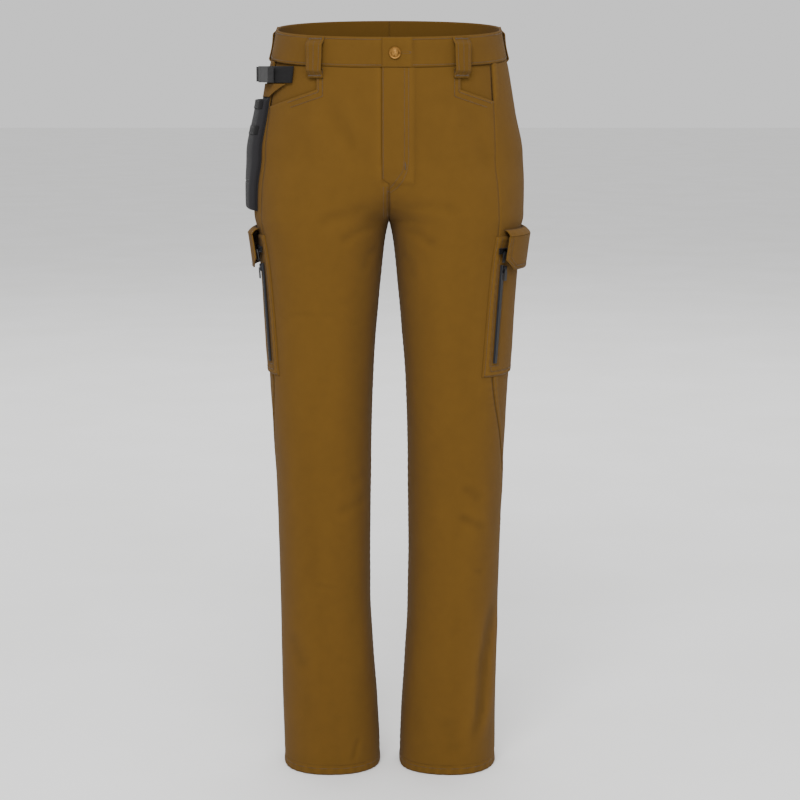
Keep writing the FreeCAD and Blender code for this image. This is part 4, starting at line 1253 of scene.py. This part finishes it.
def cargo_zips(side):
    """The straight zip down the pocket's front edge and the arc under its flap."""
    word = WORD[side]
    turn = CARGO_TURN[side]
    flip = np.array([side, 1, 1])
    start, finish = (facing_spot(turn, SIDE_ZIP_AT, drop, POCKET_FACE)
                     for drop in SIDE_ZIP_DROPS)
    aside = facing_spot(turn, SIDE_ZIP_AT + 3, SIDE_ZIP_DROPS[0], POCKET_FACE) - start
    outward = np.array([aside[1], -aside[0], 0.0])
    down = (finish - start) / np.linalg.norm(finish - start)
    outward -= down * (outward @ down)
    outward /= np.linalg.norm(outward)
    path = np.stack([start + outward * ZIP_LIFT, finish + outward * ZIP_LIFT]) * flip
    normals = np.stack([outward, outward]) * flip
    zip_strip("side_zip_" + word, path, normals, NARROW_TAPE, ZIP_TAPE, COIL)
    bearings = turn + np.radians(MOUTH_BEARINGS)
    row = OUTLINES[table_row(MOUTH_DROP)]
    window = (row[:, 0] - LEG_AXIS > -200) & LEG_SIDE
    angle = np.arctan2(row[window, 1], row[window, 0] - LEG_AXIS)
    spots = []
    for bearing in bearings:
        at = np.interp(-bearing, np.maximum.accumulate(angle), FINE[window])
        spots.append(skin(np.array([MOUTH_DROP]), np.array([at]), POCKET_FACE)[0])
    a, b, c = (s[:2] for s in spots)
    matrix = np.array([b - a, c - a]) * 2
    centre = np.linalg.solve(matrix, [b @ b - a @ a, c @ c - a @ a])
    radius = np.linalg.norm(a - centre)
    first = math.atan2(*(a - centre)[::-1])
    last = math.atan2(*(c - centre)[::-1])
    angles = np.linspace(first, last, 80)
    normals = np.stack([np.cos(angles), np.sin(angles), np.zeros(80)], axis=1)
    path = normals * (radius + MOUTH_LIFT) + np.array([*centre, -MOUTH_DROP])
    zip_strip("mouth_zip_" + word, path * flip, normals * flip, NARROW_TAPE,
              ZIP_TAPE, COIL)


FLY_ZIP_X, FLY_ZIP_OUT = 6.0, -3.7
FLY_ZIP_DROPS = (58, 198)
SHIELD = (-15.5, 27.5, -205.5, -57.5)
SHIELD_OUT = -11.6
SHIELD_RETURN = 8.6       # how far the shield's sewn edge comes forward to the cloth


def fly_zip():
    """The brass zip behind the lap and the shield behind it."""
    drops = np.linspace(*FLY_ZIP_DROPS, 30)
    angles = plan_angles(drops, np.full(30, FLY_ZIP_X), True)
    path = skin(drops, angles, FLY_ZIP_OUT)
    path = path[:1] + (path[-1:] - path[:1]) * np.linspace(0, 1, 30)[:, None]
    normals = np.broadcast_to(np.array([0.0, 1.0, 0.0]), path.shape)
    zip_strip("fly_zip", path, normals, FLY_TAPE_HALF, FLY_TAPE, BRASS)
    across, heights = rectangle(*SHIELD, 60, 24)
    sheet = Sheet(1, -heights, plan_angles(-heights, across, True), SHIELD_OUT, fold=0.0)
    sheet.out += SHIELD_RETURN * ease((-9.5 - across) / 5.5)
    sheet.out += 0.25 * np.sin(heights / 7.0)
    sheet.finish("fly_shield", LINING, "shield_canvas",
                 ["waistband_lining_left_cloth"], thick=1.4)


# ------------------------------------------------------------ thigh pockets
FLAP_EDGE = -63.0
FLAP_FOOT = 341.5
FLAP_TOP_OUT = 15.2


def cargo_pocket(side):
    """The patch, the flap's band and the loose flap of one thigh pocket."""
    word = WORD[side]
    turn = CARGO_TURN[side]
    half = CARGO_HALF
    along, heights = rectangle(-half, half, -CARGO_LOW, -CARGO_TOP, 102, 76)
    sheet = plate(side, turn, along, heights)
    edge = edge_distance(along, heights, (-half, half, -CARGO_LOW, -CARGO_TOP))
    run = along + heights
    sheet.out += 0.5 + 2.4 * ease(edge / 3.5)
    sheet.out -= 0.45 * np.exp(-((edge - 8.5) / 1.2) ** 2)
    sheet.out += 0.3 * np.exp(-((edge - 5.5) / 3) ** 2) * np.sin(run / 1.9)
    inner = ease((edge - 16) / 20)
    place = np.stack([along, heights, heights * 0], axis=-1).reshape(-1, 3)
    crumple = wander(place, 0.022, 5 + side, (1, 0.6, 1)).reshape(along.shape)
    sheet.out += inner * (0.7 + 0.9 * crumple)
    sheet.shade_and_edge_tint += 0.3 * np.exp(-edge / 1.8)
    sheet.finish("cargo_pocket_" + word, CARGO_CANVAS, "cargo_canvas",
                 ["side_panel_" + word + "_cloth"], held="laid")

    along, heights = rectangle(FLAP_EDGE, half, -CARGO_TOP + 0.4, -CARGO_TOP + 9.0, 12, 70)
    t = (-CARGO_TOP + 9.0 - heights) / 8.6
    band = plate(side, turn, along, heights)
    band.out += 0.7 + (FLAP_TOP_OUT - 0.7) * np.sqrt(np.clip(t, 0, 1))
    band.out += 0.2 * np.sin(along / 2.1)
    obj = band.build("cargo_flap_band_" + word + "_cloth", thick=1.3)
    place_piece(obj, CARGO_CANVAS, nodes=["cargo_flap_band_" + word])
    band.points() / MM

    u = np.linspace(FLAP_EDGE, half, 69)
    foot = FLAP_FOOT - np.maximum(0, FLAP_EDGE + 15.0 - u)
    head = CARGO_TOP + 0.4
    v = np.linspace(0, 1, 31)[:, None]
    drops = head + (foot - head) * v
    along = np.broadcast_to(u, drops.shape)
    flap = plate(side, turn, along, -drops, fold=0.0)
    edge = np.minimum(np.minimum(along - FLAP_EDGE, half - along), foot - drops)
    flap.out += FLAP_TOP_OUT + 0.6 * np.sin((drops - head) / 49 * math.pi)
    flap.out -= 0.35 * np.exp(-((edge - 6) / 1.2) ** 2)
    flap.out += 0.25 * np.exp(-((edge - 3) / 3) ** 2) * np.sin((along + drops) / 1.8)
    flap.out += 0.5 * np.sin(along / 26 + side) - 0.5 * np.exp(-edge)
    flap.shade_and_edge_tint += 0.35 * np.exp(-edge / 1.6)
    flap.finish("cargo_flap_" + word, CARGO_CANVAS, "flap_canvas",
                ["cargo_flap_band_" + word + "_cloth"], thick=1.5, body="flap_" + word)

    thread = Thread()
    for inset in (2.2, 8.5):
        low, top = -CARGO_LOW + inset, -CARGO_TOP - 2
        outline = [(-half + inset, top), (-half + inset, low), (half - inset, low),
                   (half - inset, top)]
        thread.run(facing_line(side, turn, outline, 2.95 if inset > 4 else 2.3))
    zip_frame = [(-66.5, -332), (-66.5, -480), (-53.5, -480), (-53.5, -332)]
    thread.run(facing_line(side, turn, zip_frame, 3.1))
    thread.build("cargo_stitching_" + word, SHADED_TAN_THREAD, "cargo_canvas")
    thread = Thread()
    for inset in (2.0, 6.0):
        left, right, low = FLAP_EDGE + inset, half - inset, -FLAP_FOOT + inset
        outline = [(left, -head - 2), (left, low + 15 - inset * 0.4),
                   (left + 15 - inset * 0.4, low), (right, low), (right, -head - 2)]
        thread.run(facing_line(side, turn, outline, FLAP_TOP_OUT + 0.35, fold=0.0))
    thread.build("flap_stitching_" + word, SHADED_TAN_THREAD, "flap_canvas", body="flap_" + word)


# ------------------------------------------------------------ holster
POUCH = (-46.0, 74.0, -259.0, -101.0)
BACKER_TOP = -82.0
POUCH_OUT = 11.2


POUCH_CORNER = 7.0
POUCH_FOOT_OUT = 2.2      # where the pouch's edge is sewn to the backer
BACKER_OUT = 1.85
RIBS = (("upper", 0.5), ("lower", 37.0))
RIB_HEIGHT, RIB_OUT = 12.0, 1.35
POUCH_SEAM = -217.0
TAB_HEAD, TAB_FOOT, TAB_LEFT, TAB_RIGHT, TAB_OUT = -78.0, -97.0, -72.0, -22.0, 3.3
STRAP = (-78.0, -14.0, -76.5, -53.5)
STRAP_OUT = 2.1


def holster():
    """The clip-on pouch: backer, shell with an open mouth, two ribs and a tab."""
    low_along, high_along, low, top = POUCH
    along, heights = rectangle(low_along, high_along, low, BACKER_TOP, 60, 44)
    backer = plate(-1, 0.0, along, heights, fold=0.0)
    backer.out += BACKER_OUT
    edge = edge_distance(along, heights, (low_along, high_along, low, BACKER_TOP))
    backer.shade_and_edge_tint += 0.3 * np.exp(-edge / 2)
    backer.finish("holster_backer", NYLON, "holster_nylon",
                  ["strap_front_webbing"], thick=1.3, body="holster")

    corner = POUCH_CORNER
    bend_steps = np.linspace(0, 1, 7) * corner
    wide, tall = high_along - low_along, top - low
    side_steps = np.concatenate([bend_steps, np.linspace(corner, wide - corner, 47)[1:],
                                 wide - corner + bend_steps[1:]])
    foot_steps = np.concatenate([np.linspace(0, tall - corner, 66),
                                 tall - corner + bend_steps[1:]])
    along = low_along + np.broadcast_to(side_steps, (len(foot_steps), len(side_steps)))
    heights = top - np.broadcast_to(foot_steps[:, None], along.shape)
    edge = np.minimum(np.minimum(along - low_along, high_along - along), heights - low)
    rise = np.sqrt(np.clip(1 - (1 - np.clip(edge / corner, 0, 1)) ** 2, 0, 1))
    shell = plate(-1, 0.0, along, heights, fold=0.0)
    place = np.stack([along, heights, heights * 0], axis=-1).reshape(-1, 3)
    slump = wander(place, 0.02, 9, (1, 0.8, 1)).reshape(along.shape)
    seam = np.exp(-((heights - POUCH_SEAM) / 1.6) ** 2)
    bulge = POUCH_OUT - POUCH_FOOT_OUT
    shell.out += POUCH_FOOT_OUT + rise * (bulge * (1 + 0.05 * slump) - 0.8 * seam)
    shell.out += 0.5 * ease((top - heights) / 30) * rise
    shell.shade_and_edge_tint += 0.35 * np.exp(-((top - heights) / 2)) + 0.2 * np.exp(-((edge - 5) / 3) ** 2)
    obj = shell.build("holster_pouch_cloth", thick=1.3)
    place_piece(obj, NYLON, body="holster", nodes=["holster_pouch"])
    shell.points() / MM

    for word, drop in RIBS:
        high = top - drop
        along, heights = rectangle(low_along + 1.5, high_along - 1.5, high - RIB_HEIGHT,
                                   high, 8, 60)
        inset = np.minimum(along - low_along, high_along - along)
        bend = np.sqrt(np.clip(1 - (1 - np.clip(inset / corner, 0, 1)) ** 2, 0, 1))
        rib = plate(-1, 0.0, along, heights, fold=0.0)
        rib.out += POUCH_FOOT_OUT + bulge * bend + RIB_OUT
        rib.out += 0.35 * np.sin(along / 11.0)
        rib.finish("holster_rib_" + word, WEBBING, "webbing",
                   ["holster_pouch_cloth"], held="stretched", body="holster",
                   kind="webbing")

    u = np.linspace(0, 1, 26)
    v = np.linspace(0, 1, 16)[:, None]
    left = TAB_RIGHT + (TAB_LEFT - TAB_RIGHT) * (1 - v * 0.52)
    along = left + (TAB_RIGHT - left) * u
    heights = TAB_HEAD + (TAB_FOOT - TAB_HEAD) * v + 0 * along
    tab = plate(-1, 0.0, along, heights, out=TAB_OUT, fold=0.0)
    tab.out -= 1.0 * ease((-52 - along) / 16)
    tab.shade_and_edge_tint += 0.3 * np.exp(-u / 0.05)
    tab.finish("holster_tab", CARGO_CANVAS, "tab_canvas",
               ["holster_backer_cloth"], held="laid", thick=1.3, body="holster")

    thread = Thread()
    left, right = low_along + 2.4, high_along - 2.4
    outline = [(left, BACKER_TOP - 2), (left, low + 2.4), (right, low + 2.4),
               (right, BACKER_TOP - 2), (left, BACKER_TOP - 2)]
    thread.run(facing_line(-1, 0.0, outline, POUCH_FOOT_OUT, fold=0.0))
    rows = [(POUCH_SEAM - 2.5, 0.4), (POUCH_SEAM + 2.5, 0.4)]
    for _, drop in RIBS:
        rows += [(top - drop - 1.8, RIB_OUT), (top - drop - 10.2, RIB_OUT)]
    for z, lift in rows:
        line = [(low_along + 8, z), (high_along - 8, z)]
        thread.run(facing_line(-1, 0.0, line, POUCH_OUT + lift, fold=0.0))
    thread.build("holster_stitching", BLACK_THREAD, "holster_nylon", body="holster")


def strap():
    """The webbing under the holster and the short end behind its buckle."""
    along, heights = rectangle(*STRAP, 14, 40)
    sheet = plate(-1, 0.0, along, heights, fold=0.0)
    sheet.out += STRAP_OUT + 0.15 * np.sin(heights / 1.6)
    sheet.finish("strap_front", WEBBING, "webbing",
                 ["yoke_right_cloth"], held="stretched", thick=1.5, kind="webbing")
    low, high = (np.array(c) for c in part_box("strap_rear"))
    size = high - low
    u, v = np.meshgrid(np.linspace(0, 1, 24), np.linspace(0, 1, 12))
    middle = (low + high) / 2
    grid = np.zeros((12, 24, 3))
    frame_points = np.array([v.co[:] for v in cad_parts["strap_rear"].data.vertices])
    level = frame_points[:, :2] - middle[:2]
    axis = np.linalg.svd(level, full_matrices=False)[2][0]
    reach = np.abs(level @ axis).max()
    side_way = np.array([-axis[1], axis[0]])
    grid[..., :2] = middle[:2] + (2 * u[..., None] - 1) * reach * axis
    grid[..., :2] += 0.0004 * np.cos(u * 9)[..., None] * side_way
    grid[..., 2] = high[2] - 0.0005 - v * (size[2] - 0.001)
    uvs = np.stack([u * 2 * reach, v * size[2]], axis=-1).reshape(-1, 2)
    painted_light_and_edge_tint = 0.3 * np.abs(2 * v - 1) ** 6
    obj = new_object("strap_rear_webbing", grid.reshape(-1, 3), grid_faces(11, 23, False), uvs,
                     painted_light_and_edge_tint)
    thicken(obj, 1.4, offset=0.0)
    place_piece(obj, WEBBING, body="buckle_plug", nodes=["strap_rear"])


# ------------------------------------------------------------ carried-over hardware
def dress_hardware():
    looks = {"button_tack": BRASS, "button_cap": BRASS, "fly_zip_slider": BRASS,
             "fly_zip_pull": BRASS, "buckle_socket": PLASTIC, "buckle_plug": PLASTIC}
    for word in ("left", "right"):
        for kind in ("side", "mouth"):
            looks["%s_zip_%s_slider" % (kind, word)] = GUNMETAL
            looks["%s_zip_%s_pull" % (kind, word)] = PULL
    for name, look in looks.items():
        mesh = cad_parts[name].data
        mesh.materials.clear()
        mesh.materials.append(look)


# ------------------------------------------------------------ studio
CAMERA_PLACE = (0.016, -3.05, -0.045)
CAMERA_PITCH = -9.25
CAMERA_LENS = 93.93
FLOOR_REACH = 30.0
FLOOR_GAP = 0.0006


def soft_light(name, place, target, size, power):
    light = bpy.data.lights.new(name, "AREA")
    light.shape = "RECTANGLE"
    light.size, light.size_y = size
    light.energy = power
    lamp = bpy.data.objects.new(name, light)
    lamp.location = place
    lamp.rotation_euler = (Vector(target) - Vector(place)).to_track_quat("-Z", "Y").to_euler()
    bpy.context.scene.collection.objects.link(lamp)


def studio():
    """A pale floor, soft light from the front and both sides, and the camera."""
    floor_mat, tree, bsdf = new_material("studio_floor", 0.9)
    grain = add_noise(tree, 3.0)
    tree.links.new(add_ramp(tree, grain, [(0.3, (0.86, 0.86, 0.85)), (0.7, (0.9, 0.9, 0.9))]),
                   bsdf.inputs["Base Color"])
    r, low = FLOOR_REACH, -HEM * MM - FLOOR_GAP
    corners = [(-r, -r, low), (r, -r, low), (r, r, low), (-r, r, low)]
    ground = new_object("studio_floor", corners, [(0, 1, 2, 3)])
    ground.data.materials.append(floor_mat)
    world = bpy.data.worlds.new("studio")
    world.use_nodes = True
    background = world.node_tree.nodes["Background"]
    background.inputs["Color"].default_value = (1.0, 1.0, 1.0, 1.0)
    background.inputs["Strength"].default_value = 0.9
    bpy.context.scene.world = world
    middle = (0.0, 0.0, -0.45)
    soft_light("key", (-0.4, -2.7, 1.9), (0.0, 0.0, -0.35), (1.4, 1.4), 110.0)
    soft_light("fill", (1.2, -3.2, 1.1), middle, (1.4, 1.6), 30.0)
    soft_light("backdrop", (0.0, 3.2, 2.6), (0.0, 3.0, -1.1), (6.0, 3.0), 120.0)
    camera = bpy.data.cameras.new("camera")
    camera.lens = CAMERA_LENS
    camera.sensor_width = 36.0
    camera.clip_end = 100.0
    stand = bpy.data.objects.new("camera", camera)
    stand.location = CAMERA_PLACE
    stand.rotation_euler = (math.radians(90 + CAMERA_PITCH), 0.0, 0.0)
    bpy.context.scene.collection.objects.link(stand)
    bpy.context.scene.camera = stand


# ------------------------------------------------------------ build
for side in (1, -1):
    front_panel(side)
    leg_backs(side)
    waistband(side)
    hem(side)
    front_pocket(side)
    back_pocket(side)
    cargo_pocket(side)
    cargo_zips(side)
    leg_sewing(side)
belt_loops()
fly_zip()
fly_sewing()
holster()
strap()
dress_hardware()
studio()
